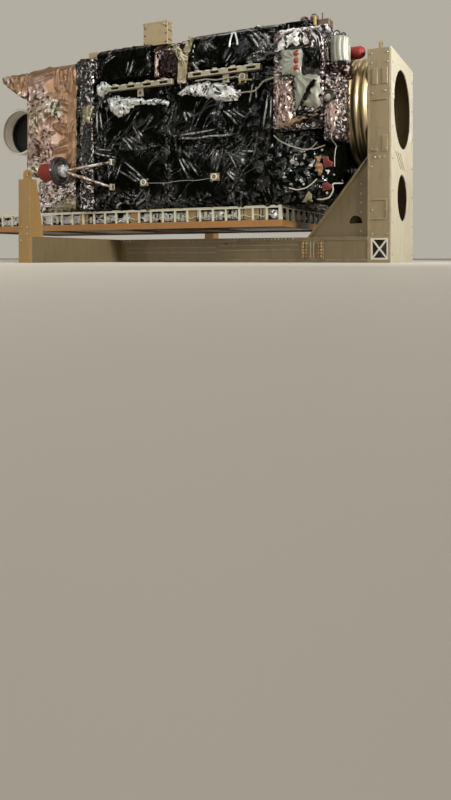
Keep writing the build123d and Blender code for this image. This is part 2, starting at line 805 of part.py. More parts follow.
window_height = BODY_LOW - PANEL_HIGH - RAIL_CHORD
rail_middle = (PANEL_HIGH + BODY_LOW) / 2
window_middle = PANEL_HIGH + window_height / 2
rail_pitch = (array_length - RAIL_POST) / RAIL_BAYS
for side, sign in SIDES:
    outer_y = max(sign * ARRAY_HALF, sign * (ARRAY_HALF - RAIL_THICKNESS))
    with BuildPart() as side_rail:
        with BuildSketch(across(outer_y)):
            with Locations((array_middle, rail_middle)):
                Rectangle(array_length, BODY_LOW - PANEL_HIGH)
            with Locations((array_middle, window_middle)):
                with GridLocations(rail_pitch, 1, RAIL_BAYS, 1):
                    Rectangle(rail_pitch - RAIL_POST, window_height, mode=Mode.SUBTRACT)
        extrude(amount=RAIL_THICKNESS)
    keep(side_rail.part, f"array_rail_{side}")

end_half = ARRAY_HALF - RAIL_THICKNESS
end_pitch = (2 * end_half - RAIL_POST) / END_BAYS
for name, x in (("forward", ARRAY_X0), ("aft", ARRAY_X1 - RAIL_THICKNESS)):
    with BuildPart() as end_rail:
        with BuildSketch(along(x)):
            with Locations((0, rail_middle)):
                Rectangle(2 * end_half, BODY_LOW - PANEL_HIGH)
            with Locations((0, window_middle)):
                with GridLocations(end_pitch, 1, END_BAYS, 1):
                    Rectangle(end_pitch - RAIL_POST, window_height, mode=Mode.SUBTRACT)
        extrude(amount=RAIL_THICKNESS)
    keep(end_rail.part, f"array_rail_{name}")

# Slotted rails along the two long faces, with blocks on top and hangers underneath
for side, sign in SIDES:
    with BuildPart() as face_rail:
        for x0, x1, low, hanger_x in RAIL_SPANS:
            slot_pitch = (x1 - x0) / RAIL_SLOTS
            with BuildSketch(across(outward(sign, BODY_HALF, RAIL_DEPTH))):
                with Locations(((x0 + x1) / 2, low + RAIL_HEIGHT / 2)):
                    Rectangle(x1 - x0, RAIL_HEIGHT)
                    with GridLocations(slot_pitch, 1, RAIL_SLOTS, 1):
                        Rectangle(slot_pitch / 2, RAIL_HEIGHT / 2, mode=Mode.SUBTRACT)
                with Locations(((x0 + x1) / 2, low + RAIL_HEIGHT + RAIL_BLOCK_HEIGHT / 2)):
                    with GridLocations(slot_pitch, 1, RAIL_SLOTS, 1):
                        Rectangle(RAIL_BLOCK_WIDTH, RAIL_BLOCK_HEIGHT)
            extrude(amount=RAIL_DEPTH)
            with BuildSketch(across(outward(sign, BODY_HALF, HANGER_DEPTH))):
                with Locations((hanger_x, low - HANGER_DROP / 2)):
                    Rectangle(HANGER_WIDTH, HANGER_DROP)
            extrude(amount=HANGER_DEPTH)
    keep(face_rail.part, f"payload_rail_{side}")

# Round fittings on the near face, each on a plate
with BuildPart() as fitting_plates:
    with BuildSketch(across(-BODY_HALF)):
        for x, z in FITTINGS:
            with Locations((x, z)):
                Rectangle(FITTING_PLATE_WIDTH, FITTING_PLATE_HEIGHT)
    extrude(amount=FITTING_PLATE)
keep(fitting_plates.part, "fitting_brackets")

with BuildPart() as fittings:
    with BuildSketch(across(-BODY_HALF - FITTING_PLATE)):
        for x, z in FITTINGS:
            with Locations((x, z)):
                RegularPolygon(FITTING_R, FITTING_SIDES)
    extrude(amount=FITTING_DEPTH)
keep(fittings.part, "face_fittings")

# Boxes on the roof, with a mast or knobs on two of them
for name, x0, x1, y0, y1, z0, z1 in ROOF_BOXES:
    with BuildPart() as roof_box:
        with BuildSketch(above(z0)):
            with Locations(((x0 + x1) / 2, (y0 + y1) / 2)):
                cut_corners(x1 - x0, y1 - y0, BOX_EDGE)
        extrude(amount=z1 - z0)
        for carrier, shape, x, y, half, rise in ROOF_STUBS:
            if carrier == name:
                with BuildSketch(above(z1)):
                    with Locations((x, y)):
                        if shape == "mast":
                            Rectangle(2 * half, 2 * half)
                        else:
                            RegularPolygon(half, KNOB_SIDES)
                extrude(amount=rise)
    keep(roof_box.part, name)

# Antenna boom: two rods from hinge eyes to one hub, all welded together
with BuildPart() as boom:
    for z in EYE_Z:
        with BuildSketch(above(z - EYE_HALF)):
            with Locations((HINGE_X, HINGE_Y)):
                Circle(EYE_R)
        extrude(amount=2 * EYE_HALF)
    with BuildSketch(along(HUB_X)):
        with Locations((HUB_Y, HUB_Z)):
            RegularPolygon(HUB_R, HUB_SIDES)
    extrude(amount=HUB_NOSE)
    for z in EYE_Z:
        foot = Vector(HINGE_X, HINGE_Y, z)
        reach = Vector(HUB_X + HUB_NOSE / 2, HUB_Y, HUB_Z) - foot
        with BuildSketch(Plane(origin=foot, z_dir=reach)):
            RegularPolygon(ROD_R, ROD_SIDES)
        extrude(amount=reach.length)
    for z in EYE_Z:
        with BuildSketch(above(z - EYE_HALF)):
            with Locations((HINGE_X, HINGE_Y)):
                Circle(PIN_R + PIN_GAP)
        extrude(amount=2 * EYE_HALF, mode=Mode.SUBTRACT)
keep(boom.part, "antenna_boom")

# Antenna disc: its aft face is sunk inside a rim, and a soft cover stands on its forward face
with BuildPart() as disc:
    with BuildSketch(along(DISC_X0)):
        with Locations((HUB_Y, HUB_Z)):
            Circle(DISC_R)
    extrude(amount=HUB_X - DISC_X0)
    with BuildSketch(along(HUB_X - DISC_RECESS)):
        with Locations((HUB_Y, HUB_Z)):
            Circle(DISC_R - DISC_RIM)
    extrude(amount=DISC_RECESS, mode=Mode.SUBTRACT)
keep(disc.part, "antenna_disc")

with BuildPart() as cover:
    with BuildSketch(along(COVER_X0)):
        with Locations((HUB_Y, HUB_Z)):
            RegularPolygon(COVER_R, COVER_SIDES)
    extrude(amount=DISC_X0 - COVER_X0)
keep(cover.part, "antenna_cover")

# Hinge brackets: a foot on the body, two ears and a fixed pin round each eye
ear_low = EYE_HALF + EAR_GAP
for number, z in enumerate(EYE_Z, 1):
    with BuildPart() as bracket:
        with BuildSketch(across(-BODY_HALF)):
            with Locations((HINGE_X, z)):
                Rectangle(4 * EAR_HALF, 2 * (ear_low + EAR_THICKNESS))
        extrude(amount=BRACKET_BASE)
        for start in (z - ear_low - EAR_THICKNESS, z + ear_low):
            with BuildSketch(above(start)):
                with BuildLine():
                    Polyline(
                        (HINGE_X - EAR_HALF, -BODY_HALF),
                        (HINGE_X - EAR_HALF, HINGE_Y),
                        (HINGE_X - EAR_HALF / 2, HINGE_Y - EAR_HALF),
                        (HINGE_X + EAR_HALF / 2, HINGE_Y - EAR_HALF),
                        (HINGE_X + EAR_HALF, HINGE_Y),
                        (HINGE_X + EAR_HALF, -BODY_HALF),
                        close=True,
                    )
                make_face()
            extrude(amount=EAR_THICKNESS)
        with BuildSketch(above(z - ear_low)):
            with Locations((HINGE_X, HINGE_Y)):
                Circle(PIN_R)
        extrude(amount=2 * ear_low)
    keep(bracket.part, f"boom_bracket_{number}")
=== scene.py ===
# %% [markdown]
# # A satellite in foil blankets, on its handling cradle
#
# This lesson dresses a finished CAD model. The model gives the structure: the cradle, the
# boxes of the satellite, the antenna and its hinge. Blender adds what CAD is poor at: thin
# blankets that crumple, metal that is scuffed at its edges, and light that lets both be read.
# Every length is in metres, and every piece is made where the model says it is.

# %% Start from the fixed frame
import json
import math

import bmesh
import bpy
import numpy as np
from mathutils import Euler, Matrix, Vector


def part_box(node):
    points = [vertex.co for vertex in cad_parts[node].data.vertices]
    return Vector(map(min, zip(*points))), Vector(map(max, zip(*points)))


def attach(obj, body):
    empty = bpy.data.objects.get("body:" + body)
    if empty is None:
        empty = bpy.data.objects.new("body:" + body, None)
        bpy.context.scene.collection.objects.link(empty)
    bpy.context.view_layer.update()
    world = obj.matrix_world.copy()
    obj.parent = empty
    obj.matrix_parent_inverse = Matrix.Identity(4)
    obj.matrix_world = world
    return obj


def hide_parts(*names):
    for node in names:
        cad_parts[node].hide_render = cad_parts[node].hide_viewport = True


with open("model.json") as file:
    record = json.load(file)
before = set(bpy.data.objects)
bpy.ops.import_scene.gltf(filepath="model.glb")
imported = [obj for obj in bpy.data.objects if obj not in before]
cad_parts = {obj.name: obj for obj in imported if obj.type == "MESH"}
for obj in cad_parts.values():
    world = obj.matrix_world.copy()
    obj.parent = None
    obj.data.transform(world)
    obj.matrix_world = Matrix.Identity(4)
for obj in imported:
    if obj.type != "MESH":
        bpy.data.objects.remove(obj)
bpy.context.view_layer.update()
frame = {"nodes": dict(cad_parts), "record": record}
nodes = frame["nodes"]
scene = bpy.context.scene

# %% [markdown]
# ## The camera
#
# The photograph looks up at the satellite. Here it stands on the floor, so the same view needs
# a camera that almost lies on the ground. It could be tilted up, but then upright edges would
# lean together. So it stays level, and a vertical shift moves the picture onto the object, as
# an architect's lens does. The heading was found from the long level edges of the cradle.

# %% Place the level camera
CAMERA_PLACE = (5.25, -9.33, 0.06)
CAMERA_HEADING = 26.0
CAMERA_LENS = 31.5
HORIZON_SHIFT = -0.1775

camera_data = bpy.data.cameras.new("camera")
camera_data.lens = CAMERA_LENS
camera_data.sensor_width = 36.0
camera_data.shift_y = HORIZON_SHIFT
camera_data.clip_start = 0.01
camera_data.clip_end = 300.0
camera = bpy.data.objects.new("camera", camera_data)
camera.location = CAMERA_PLACE
camera.rotation_euler = Euler((math.radians(90), 0, math.radians(CAMERA_HEADING)))
scene.collection.objects.link(camera)
scene.camera = camera
print("camera", CAMERA_PLACE, "heading", CAMERA_HEADING)

# %% [markdown]
# ## The backdrop
#
# Foil is a mirror that has been crumpled, so it shows its surroundings more than its own
# colour. A picture of a room could be wrapped round the scene, but one plain wall tone is
# enough, and it is no brighter than it must be, so black foil stays black. The camera and the
# reflections see it, by way of the Light Path node, and a darker tone lights the scene.

# %% Hang the backdrop
scene.view_settings.view_transform = "Standard"

PALE = (0.45, 0.42, 0.36, 1)
DIM = (0.22, 0.21, 0.19, 1)

world = bpy.data.worlds.new("studio")
world.use_nodes = True
scene.world = world
sky = world.node_tree
sky_light = sky.nodes["Background"]
sky_light.inputs["Color"].default_value = DIM
sky_seen = sky.nodes.new("ShaderNodeBackground")
sky_seen.inputs["Color"].default_value = PALE
sky_path = sky.nodes.new("ShaderNodeLightPath")
seen = sky_path.outputs["Is Camera Ray"]
for ray_kind in ("Is Glossy Ray", "Is Transmission Ray"):
    either = sky.nodes.new("ShaderNodeMath")
    either.operation = "MAXIMUM"
    sky.links.new(seen, either.inputs[0])
    sky.links.new(sky_path.outputs[ray_kind], either.inputs[1])
    seen = either.outputs[0]
sky_mix = sky.nodes.new("ShaderNodeMixShader")
sky.links.new(seen, sky_mix.inputs[0])
sky.links.new(sky_light.outputs[0], sky_mix.inputs[1])
sky.links.new(sky_seen.outputs[0], sky_mix.inputs[2])
sky.links.new(sky_mix.outputs[0], sky.nodes["World Output"].inputs["Surface"])
print("backdrop", PALE[:3], "lit by", DIM[:3])

# %% [markdown]
# ## The lamps
#
# A few large lamps alone would give soft light and dull foil. Narrow, strong strips beside them
# give short bright glints in the folds and add little to the even light. On the faces that the
# camera sees, the strongest light comes from the right, as in the photograph, so the end plate
# is bright and the near side is in half shade. That lamp is held to a narrow spread, so it
# lights the object and not the floor beside it.

# %% Set the lamps
# name, place, the point it faces, width, height, watts, spread in degrees
LAMPS = (
    ("right", (11.5, -3.0, 5.0), (1.5, 0.0, 2.4), 2.5, 2.5, 165, 60),
    ("key", (2.5, -9.5, 7.5), (0.0, 0.0, 1.5), 3.0, 1.5, 120, 180),
    ("strip_left", (-7.5, -7.0, 4.0), (-1.0, 0.0, 1.5), 0.12, 5.0, 80, 180),
    ("strip_front", (-2.5, -10.0, 4.5), (0.0, 0.0, 1.5), 0.1, 4.0, 90, 180),
    ("strip_high", (0.5, -6.5, 8.0), (0.0, 0.0, 2.0), 6.0, 0.12, 130, 180),
    ("strip_low", (1.0, -10.5, 2.2), (0.0, 0.0, 1.5), 5.0, 0.08, 35, 180),
    ("top", (0.0, 1.0, 9.0), (0.0, 0.0, 1.0), 6.0, 3.0, 150, 180),
    ("back", (-2.0, 9.0, 5.0), (0.0, 0.0, 1.5), 5.0, 2.0, 190, 180),
)


def add_lamp(name, place, target, width, height, watts, spread):
    """A rectangular area lamp that faces the target."""
    data = bpy.data.lights.new(name, "AREA")
    data.shape = "RECTANGLE"
    data.size = width
    data.size_y = height
    data.energy = watts
    data.spread = math.radians(spread)
    lamp = bpy.data.objects.new(name, data)
    lamp.location = place
    facing = Vector(target) - Vector(place)
    lamp.rotation_euler = facing.to_track_quat("-Z", "Y").to_euler()
    scene.collection.objects.link(lamp)


for lamp_values in LAMPS:
    add_lamp(*lamp_values)
print("lamps", len(LAMPS), "watts", sum(row[5] for row in LAMPS))

# %% [markdown]
# ## The floor
#
# The floor is pale and slightly glossy, like painted concrete. It carries the shadow and sends
# warm light up under the satellite. It is wide enough to reach the horizon, because this camera
# sees it almost edge on.

# %% Lay the floor
FLOOR_TONE = (0.8, 0.75, 0.64, 1)
FLOOR_SIZE = 160

bpy.ops.mesh.primitive_plane_add(size=FLOOR_SIZE)
floor = bpy.context.object
floor.name = "floor"
floor_finish = bpy.data.materials.new("floor")
floor_finish.use_nodes = True
floor_shader = floor_finish.node_tree.nodes["Principled BSDF"]
floor_shader.inputs["Base Color"].default_value = FLOOR_TONE
floor_shader.inputs["Roughness"].default_value = 0.55
floor.data.materials.append(floor_finish)
print("floor", FLOOR_SIZE, "m wide")

# %% [markdown]
# ## Node groups that several finishes share
#
# Three effects come back in many finishes: creases in foil, wear along edges, and soft dirt.
# Each is a node group with named inputs, so a change is made once, and a finish only says how
# coarse or how strong it is. All three work from object coordinates, which are metres here, so
# no unwrapping is needed.

# %% Helpers for node groups
FLOAT = "NodeSocketFloat"


def new_group(name, inputs, outputs):
    """An empty shader group, with its input and output nodes."""
    tree = bpy.data.node_groups.new(name, "ShaderNodeTree")
    for label, value in inputs:
        socket = tree.interface.new_socket(label, in_out="INPUT", socket_type=FLOAT)
        socket.default_value = value
    for label in outputs:
        tree.interface.new_socket(label, in_out="OUTPUT", socket_type=FLOAT)
    return tree, tree.nodes.new("NodeGroupInput"), tree.nodes.new("NodeGroupOutput")


def add_node(tree, kind, settings=None, **values):
    """A node with its properties in settings and its inputs' values by name or number."""
    node = tree.nodes.new(kind)
    for key, value in (settings or {}).items():
        setattr(node, key, value)
    for key, value in values.items():
        label = int(key[1:]) if key[0] == "i" and key[1:].isdigit() else key.replace("_", " ")
        node.inputs[label].default_value = value
    return node


def maths(tree, operation, first, second=None):
    """A Math node fed by sockets or plain numbers. Returns its output."""
    node = tree.nodes.new("ShaderNodeMath")
    node.operation = operation
    for slot, value in enumerate((first, second)):
        if value is None:
            continue
        if isinstance(value, (int, float)):
            node.inputs[slot].default_value = value
        else:
            tree.links.new(value, node.inputs[slot])
    return node.outputs[0]


def limited(tree, value):
    """The value held between 0 and 1."""
    clamp = tree.nodes.new("ShaderNodeClamp")
    tree.links.new(value, clamp.inputs[0])
    return clamp.outputs[0]


def rising(tree, value, start, slope):
    """Zero where the value is at start, and growing by slope from there."""
    return maths(tree, "MULTIPLY", maths(tree, "SUBTRACT", value, start), slope)


def scaled(tree, value, factor, base):
    """The value times factor, plus base."""
    return maths(tree, "ADD", maths(tree, "MULTIPLY", value, factor), base)


# %% [markdown]
# ### Creases
#
# Crumpled foil is a patchwork of flat facets that meet in sharp folds. Large Voronoi cells
# with Manhattan distance give the big facets. Each one then turns the space for the smaller
# cells inside it by its own random angle, and those are stretched, so every facet is filled
# with long shards that all run its own way. Plain noise would be simpler, but it has no sharp
# folds and looks like cloth. The random value of each shard is put out too, for the tones of a
# finish. Film that is drawn tight creases in long lines instead. For those the cells are
# stretched a few times their width, and only a narrow ridge is kept.

# %% Build the crease group
crease, crease_in, crease_out = new_group(
    "foil creases",
    [("Coarse", 9.0), ("Fine", 34.0), ("Bend", 0.3)],
    ["Height", "Crinkle", "Glint", "Streak"],
)
FULL_TURN = 6.28
RIDGE_NARROWNESS = 14.0
# turn and stretch of the two sets of long lines
STREAKS = (((0.2, 0.75, 0.1), (1.3, 6.0, 7.0)), ((0.1, -0.5, 0.3), (6.5, 5.0, 1.2)))

crease_place = crease.nodes.new("ShaderNodeTexCoord")
bend_noise = add_node(crease, "ShaderNodeTexNoise", Scale=2.3, Detail=1.0)
crease.links.new(crease_place.outputs["Object"], bend_noise.inputs["Vector"])
bend_centre = add_node(crease, "ShaderNodeVectorMath", {"operation": "SUBTRACT"}, i1=(0.5, 0.5, 0.5))
crease.links.new(bend_noise.outputs["Color"], bend_centre.inputs[0])
bend_scale = add_node(crease, "ShaderNodeVectorMath", {"operation": "SCALE"})
crease.links.new(bend_centre.outputs[0], bend_scale.inputs[0])
crease.links.new(crease_in.outputs["Bend"], bend_scale.inputs["Scale"])
bent = add_node(crease, "ShaderNodeVectorMath", {"operation": "ADD"})
crease.links.new(crease_place.outputs["Object"], bent.inputs[0])
crease.links.new(bend_scale.outputs[0], bent.inputs[1])


def crease_cells(turn, stretch, **settings):
    """Voronoi cells in the bent space, turned by a tuple or a socket and stretched."""
    leaned = add_node(crease, "ShaderNodeVectorRotate", {"rotation_type": "EULER_XYZ"})
    if isinstance(turn, tuple):
        leaned.inputs["Rotation"].default_value = turn
    else:
        crease.links.new(turn, leaned.inputs["Rotation"])
    crease.links.new(bent.outputs[0], leaned.inputs["Vector"])
    drawn = add_node(crease, "ShaderNodeMapping", Scale=stretch)
    crease.links.new(leaned.outputs[0], drawn.inputs["Vector"])
    found = add_node(crease, "ShaderNodeTexVoronoi", settings, Scale=1.0)
    crease.links.new(drawn.outputs[0], found.inputs["Vector"])
    return found


facet_cells = crease_cells((0.5, 0.9, 0.4), (1, 1, 1), distance="MANHATTAN")
crease.links.new(crease_in.outputs["Coarse"], facet_cells.inputs["Scale"])
crease.links.new(facet_cells.outputs["Distance"], crease_out.inputs["Height"])
facet_turn = add_node(crease, "ShaderNodeVectorMath", {"operation": "SCALE"}, Scale=FULL_TURN)
crease.links.new(facet_cells.outputs["Color"], facet_turn.inputs[0])
shards = crease_cells(facet_turn.outputs[0], (1.0, 0.3, 0.7))
crease.links.new(crease_in.outputs["Fine"], shards.inputs["Scale"])
crease.links.new(shards.outputs["Distance"], crease_out.inputs["Crinkle"])
streaks = None
for turn, stretch in STREAKS:
    borders = crease_cells(turn, stretch, feature="DISTANCE_TO_EDGE")
    border_height = maths(crease, "MULTIPLY", borders.outputs["Distance"], RIDGE_NARROWNESS)
    ridge = limited(crease, maths(crease, "SUBTRACT", 1.0, border_height))
    streaks = ridge if streaks is None else maths(crease, "MAXIMUM", streaks, ridge)
crease.links.new(streaks, crease_out.inputs["Streak"])
one_channel = crease.nodes.new("ShaderNodeSeparateColor")
crease.links.new(shards.outputs["Color"], one_channel.inputs[0])
crease.links.new(one_channel.outputs[0], crease_out.inputs["Glint"])
print("crease group", len(crease.nodes), "nodes")

# %% [markdown]
# ### Edge wear
#
# Paint goes first where a corner is bumped. A painted mask would need unwrapped meshes. The
# Bevel node works from the shape alone: it says how a rounded normal would differ from the
# real one, and that difference is large only near edges. Noise breaks the line up.

# %% Build the edge wear group
EDGE_GAIN = 6.0
PATCH_RANGE = (0.42, 6.0)

wear, wear_in, wear_out = new_group("edge wear", [("Width", 0.012), ("Patch", 9.0)], ["Mask"])
wear_bevel = add_node(wear, "ShaderNodeBevel", {"samples": 4})
wear.links.new(wear_in.outputs["Width"], wear_bevel.inputs["Radius"])
wear_true = wear.nodes.new("ShaderNodeNewGeometry")
wear_dot = add_node(wear, "ShaderNodeVectorMath", {"operation": "DOT_PRODUCT"})
wear.links.new(wear_bevel.outputs[0], wear_dot.inputs[0])
wear.links.new(wear_true.outputs["True Normal"], wear_dot.inputs[1])
wear_gap = maths(wear, "SUBTRACT", 1.0, wear_dot.outputs["Value"])
wear_edge = maths(wear, "MULTIPLY", wear_gap, EDGE_GAIN)
wear_place = wear.nodes.new("ShaderNodeTexCoord")
wear_noise = add_node(wear, "ShaderNodeTexNoise", Detail=5.0, Roughness=0.7)
wear.links.new(wear_place.outputs["Object"], wear_noise.inputs["Vector"])
wear.links.new(wear_in.outputs["Patch"], wear_noise.inputs["Scale"])
wear_patch = rising(wear, wear_noise.outputs[0], *PATCH_RANGE)
wear.links.new(limited(wear, maths(wear, "MULTIPLY", wear_edge, wear_patch)), wear_out.inputs["Mask"])
print("edge wear group", len(wear.nodes), "nodes")

# %% [markdown]
# ### Dirt and drift
#
# No painted beam is one colour. Broad noise makes the tone drift, and finer noise, stretched
# upright, makes the faint runs that years of wiping leave behind. A third noise is sparse, for
# the few stains that stand out. One noise could do for all three, but then stains and runs
# would always fall on the same places.

# %% Build the dirt group
STAIN_RANGE = (0.6, 9.0)

dirt, dirt_in, dirt_out = new_group(
    "dirt and drift", [("Size", 1.6), ("Runs", 14.0)], ["Broad", "Fine", "Stain"]
)
dirt_place = dirt.nodes.new("ShaderNodeTexCoord")
dirt_broad = add_node(dirt, "ShaderNodeTexNoise", Detail=4.0, Roughness=0.6)
dirt.links.new(dirt_place.outputs["Object"], dirt_broad.inputs["Vector"])
dirt.links.new(dirt_in.outputs["Size"], dirt_broad.inputs["Scale"])
dirt_stretch = add_node(dirt, "ShaderNodeMapping", Scale=(1.0, 1.0, 0.18))
dirt.links.new(dirt_place.outputs["Object"], dirt_stretch.inputs["Vector"])
dirt_runs = add_node(dirt, "ShaderNodeTexNoise", Detail=6.0, Roughness=0.65)
dirt.links.new(dirt_stretch.outputs[0], dirt_runs.inputs["Vector"])
dirt.links.new(dirt_in.outputs["Runs"], dirt_runs.inputs["Scale"])
dirt_spots = add_node(dirt, "ShaderNodeTexNoise", Scale=4.3, Detail=7.0, Roughness=0.72, Distortion=0.6)
dirt.links.new(dirt_place.outputs["Object"], dirt_spots.inputs["Vector"])
dirt_stain = rising(dirt, dirt_spots.outputs[0], *STAIN_RANGE)
dirt.links.new(dirt_broad.outputs[0], dirt_out.inputs["Broad"])
dirt.links.new(dirt_runs.outputs[0], dirt_out.inputs["Fine"])
dirt.links.new(limited(dirt, dirt_stain), dirt_out.inputs["Stain"])
print("groups", [g.name for g in (crease, wear, dirt)])

# %% [markdown]
# ## Foil finishes
#
# The blankets differ only in their metal and tint. Black ones are a dark plastic film with a
# glossy face, copper and silver ones are real metal. Bump alone could suggest the folds, but
# not where they belong. So mesh attributes, written when each blanket is made, say what the
# film does at each point. Crumpled is where it is crushed, and only there come the small facets
# and the flecks of painted reflection and highlight that go with them. Ridge is where a sharp
# fold runs, and on black film a painted highlight, a paler broken line, runs along its top.
# Black film mirrors the room only on its folds and facets and stays deep black between them.
# Tint leads a film through three ramps of tone, so that one blanket can run from copper to pink
# to silver.

# %% Helpers for finishes


def empty_finish(name):
    """A new material and its Principled shader."""
    finish = bpy.data.materials.new(name)
    finish.use_nodes = True
    return finish, finish.node_tree, finish.node_tree.nodes["Principled BSDF"]


def place_group(tree, group, **values):
    """The shared group inside a finish's own tree, with this finish's values."""
    node = tree.nodes.new("ShaderNodeGroup")
    node.node_tree = group
    for key, value in values.items():
        node.inputs[key].default_value = value
    return node


def blend_colours(tree, factor, first, second):
    """A colour between first and second. Each is a socket or a plain colour."""
    mix = tree.nodes.new("ShaderNodeMix")
    mix.data_type = "RGBA"
    tree.links.new(factor, mix.inputs[0])
    for slot, value in ((6, first), (7, second)):
        if isinstance(value, tuple):
            mix.inputs[slot].default_value = (*value, 1)
        else:
            tree.links.new(value, mix.inputs[slot])
    return mix.outputs[2]


def tone_ramp(tree, factor, stops):
    """A Color Ramp through stops of place and colour, in rising order."""
    node = tree.nodes.new("ShaderNodeValToRGB")
    elements = node.color_ramp.elements
    elements[0].position = stops[0][0]
    elements[1].position = stops[-1][0]
    for place, _ in stops[1:-1]:
        elements.new(place)
    for element, (_, colour) in zip(elements, stops):
        element.color = (*colour, 1)
    tree.links.new(factor, node.inputs[0])
    return node.outputs[0]


def read_attribute(tree, name):
    """The value that a blanket stored at each point under this name."""
    return add_node(tree, "ShaderNodeAttribute", {"attribute_name": name}).outputs["Fac"]


def axes_of(tree, kind):
    """X, Y and Z of a texture coordinate, such as Object or Normal."""
    spot = tree.nodes.new("ShaderNodeTexCoord")
    parts = tree.nodes.new("ShaderNodeSeparateXYZ")
    tree.links.new(spot.outputs[kind], parts.inputs[0])
    return parts.outputs


def add_relief(tree, shader, height, strength, distance):
    """A bump under the shader. Returns its node."""
    relief = add_node(tree, "ShaderNodeBump", Strength=strength, Distance=distance)
    tree.links.new(height, relief.inputs["Height"])
    tree.links.new(relief.outputs[0], shader.inputs["Normal"])
    return relief


# %% The foil recipe
FLAT_PLACE = 0.4
CALM_RELIEF = 0.12
CRUSHED_RELIEF = 0.85
FACET_RELIEF = 0.35
RELIEF_DEPTH = 0.02
SMOOTHEST_SHARE = 0.4
# For each effect: the value at which it begins, and how steeply it comes in.
CREST_HIGHLIGHT_RANGE = (0.72, 5.0)
CREST_BREAKS = (0.44, 7.0)
PULLED_AREAS = (0.5, 6.0)
CREST_SHINE = (0.4, 2.2)
LIT_FACETS = (0.5, 4.0)


def foil_tone_and_reflections(tree, folds, drift, crumpled, tones):
    """The colour of each facet with its painted reflection, led through the ramps by tint, with deeper
    drifts.
    """
    swing = maths(tree, "SUBTRACT", folds.outputs["Glint"], FLAT_PLACE)
    place = maths(tree, "ADD", maths(tree, "MULTIPLY", swing, crumpled), FLAT_PLACE)
    tone = tone_ramp(tree, place, tones[0])
    if len(tones) > 1:
        tint = maths(tree, "MULTIPLY", read_attribute(tree, "tint"), 2.0)
        tone = blend_colours(tree, limited(tree, tint), tone, tone_ramp(tree, place, tones[1]))
        beyond = limited(tree, maths(tree, "SUBTRACT", tint, 1.0))
        tone = blend_colours(tree, beyond, tone, tone_ramp(tree, place, tones[2]))
    deep_share = limited(tree, maths(tree, "SUBTRACT", drift.outputs["Broad"], 0.3))
    return blend_colours(tree, deep_share, tone, tones[0][0][1])


def painted_crest_highlight(tree, drift, tone, crest_highlight):
    """The tone with a painted highlight, a paler broken line, along the top of each sharp fold."""
    top = limited(tree, rising(tree, read_attribute(tree, "ridge"), *CREST_HIGHLIGHT_RANGE))
    broken = limited(tree, rising(tree, drift.outputs["Fine"], *CREST_BREAKS))
    return blend_colours(tree, maths(tree, "MULTIPLY", top, broken), tone, crest_highlight)


def make_foil(
    name, tones, metal, rough, coarse, fine, bump, gloss=0.5, calm_gloss=0.5, streak=0.35, crest_highlight=None
):
    """Foil with one ramp of tones, or three that the tint attribute leads through, and a painted highlight on
    its crests when crest_highlight is given.
    """
    finish, tree, shader = empty_finish(name)
    folds = place_group(tree, crease, Coarse=coarse, Fine=fine)
    drift = place_group(tree, dirt, Size=2.2)
    crumpled = read_attribute(tree, "crumpled")
    tone = foil_tone_and_reflections(tree, folds, drift, crumpled, tones)
    # a painted highlight along the crests of sharp folds
    if crest_highlight is not None:
        tone = painted_crest_highlight(tree, drift, tone, crest_highlight)
    tree.links.new(tone, shader.inputs["Base Color"])
    shader.inputs["Metallic"].default_value = metal
    pulled = limited(tree, rising(tree, drift.outputs["Broad"], *PULLED_AREAS))
    lines = maths(tree, "MULTIPLY", folds.outputs["Streak"], pulled)
    crest = limited(tree, rising(tree, read_attribute(tree, "ridge"), *CREST_SHINE))
    lit = limited(tree, rising(tree, folds.outputs["Glint"], *LIT_FACETS))
    shine = maths(tree, "ADD", crest, maths(tree, "MULTIPLY", crumpled, lit))
    shine = limited(tree, maths(tree, "ADD", shine, lines))
    shine = scaled(tree, shine, gloss - calm_gloss, calm_gloss)
    tree.links.new(shine, shader.inputs["Specular IOR Level"])
    roughness = scaled(tree, drift.outputs["Fine"], rough, rough * SMOOTHEST_SHARE)
    tree.links.new(roughness, shader.inputs["Roughness"])
    coarse_share = scaled(tree, crumpled, CRUSHED_RELIEF, CALM_RELIEF)
    heights = maths(tree, "MULTIPLY", folds.outputs["Height"], coarse_share)
    facets = maths(tree, "MULTIPLY", folds.outputs["Crinkle"], crumpled)
    heights = maths(tree, "ADD", heights, maths(tree, "MULTIPLY", facets, FACET_RELIEF))
    heights = maths(tree, "ADD", heights, maths(tree, "MULTIPLY", lines, streak))
    add_relief(tree, shader, heights, bump, RELIEF_DEPTH)
    return finish


# %% [markdown]
# ### The tones of each film, and their painted reflections
#
# A ramp says which tone a facet gets for its random value. One colour with a strong gloss would
# do for smooth foil. Crushed foil shows dark and bright facets side by side, because each
# mirrors another part of the room. Hard steps in the ramp paint those reflections into the
# colour, so they show in a plain room too: near-black and near-white facets are painted
# reflection, and the pale last stop of black film is a painted highlight.

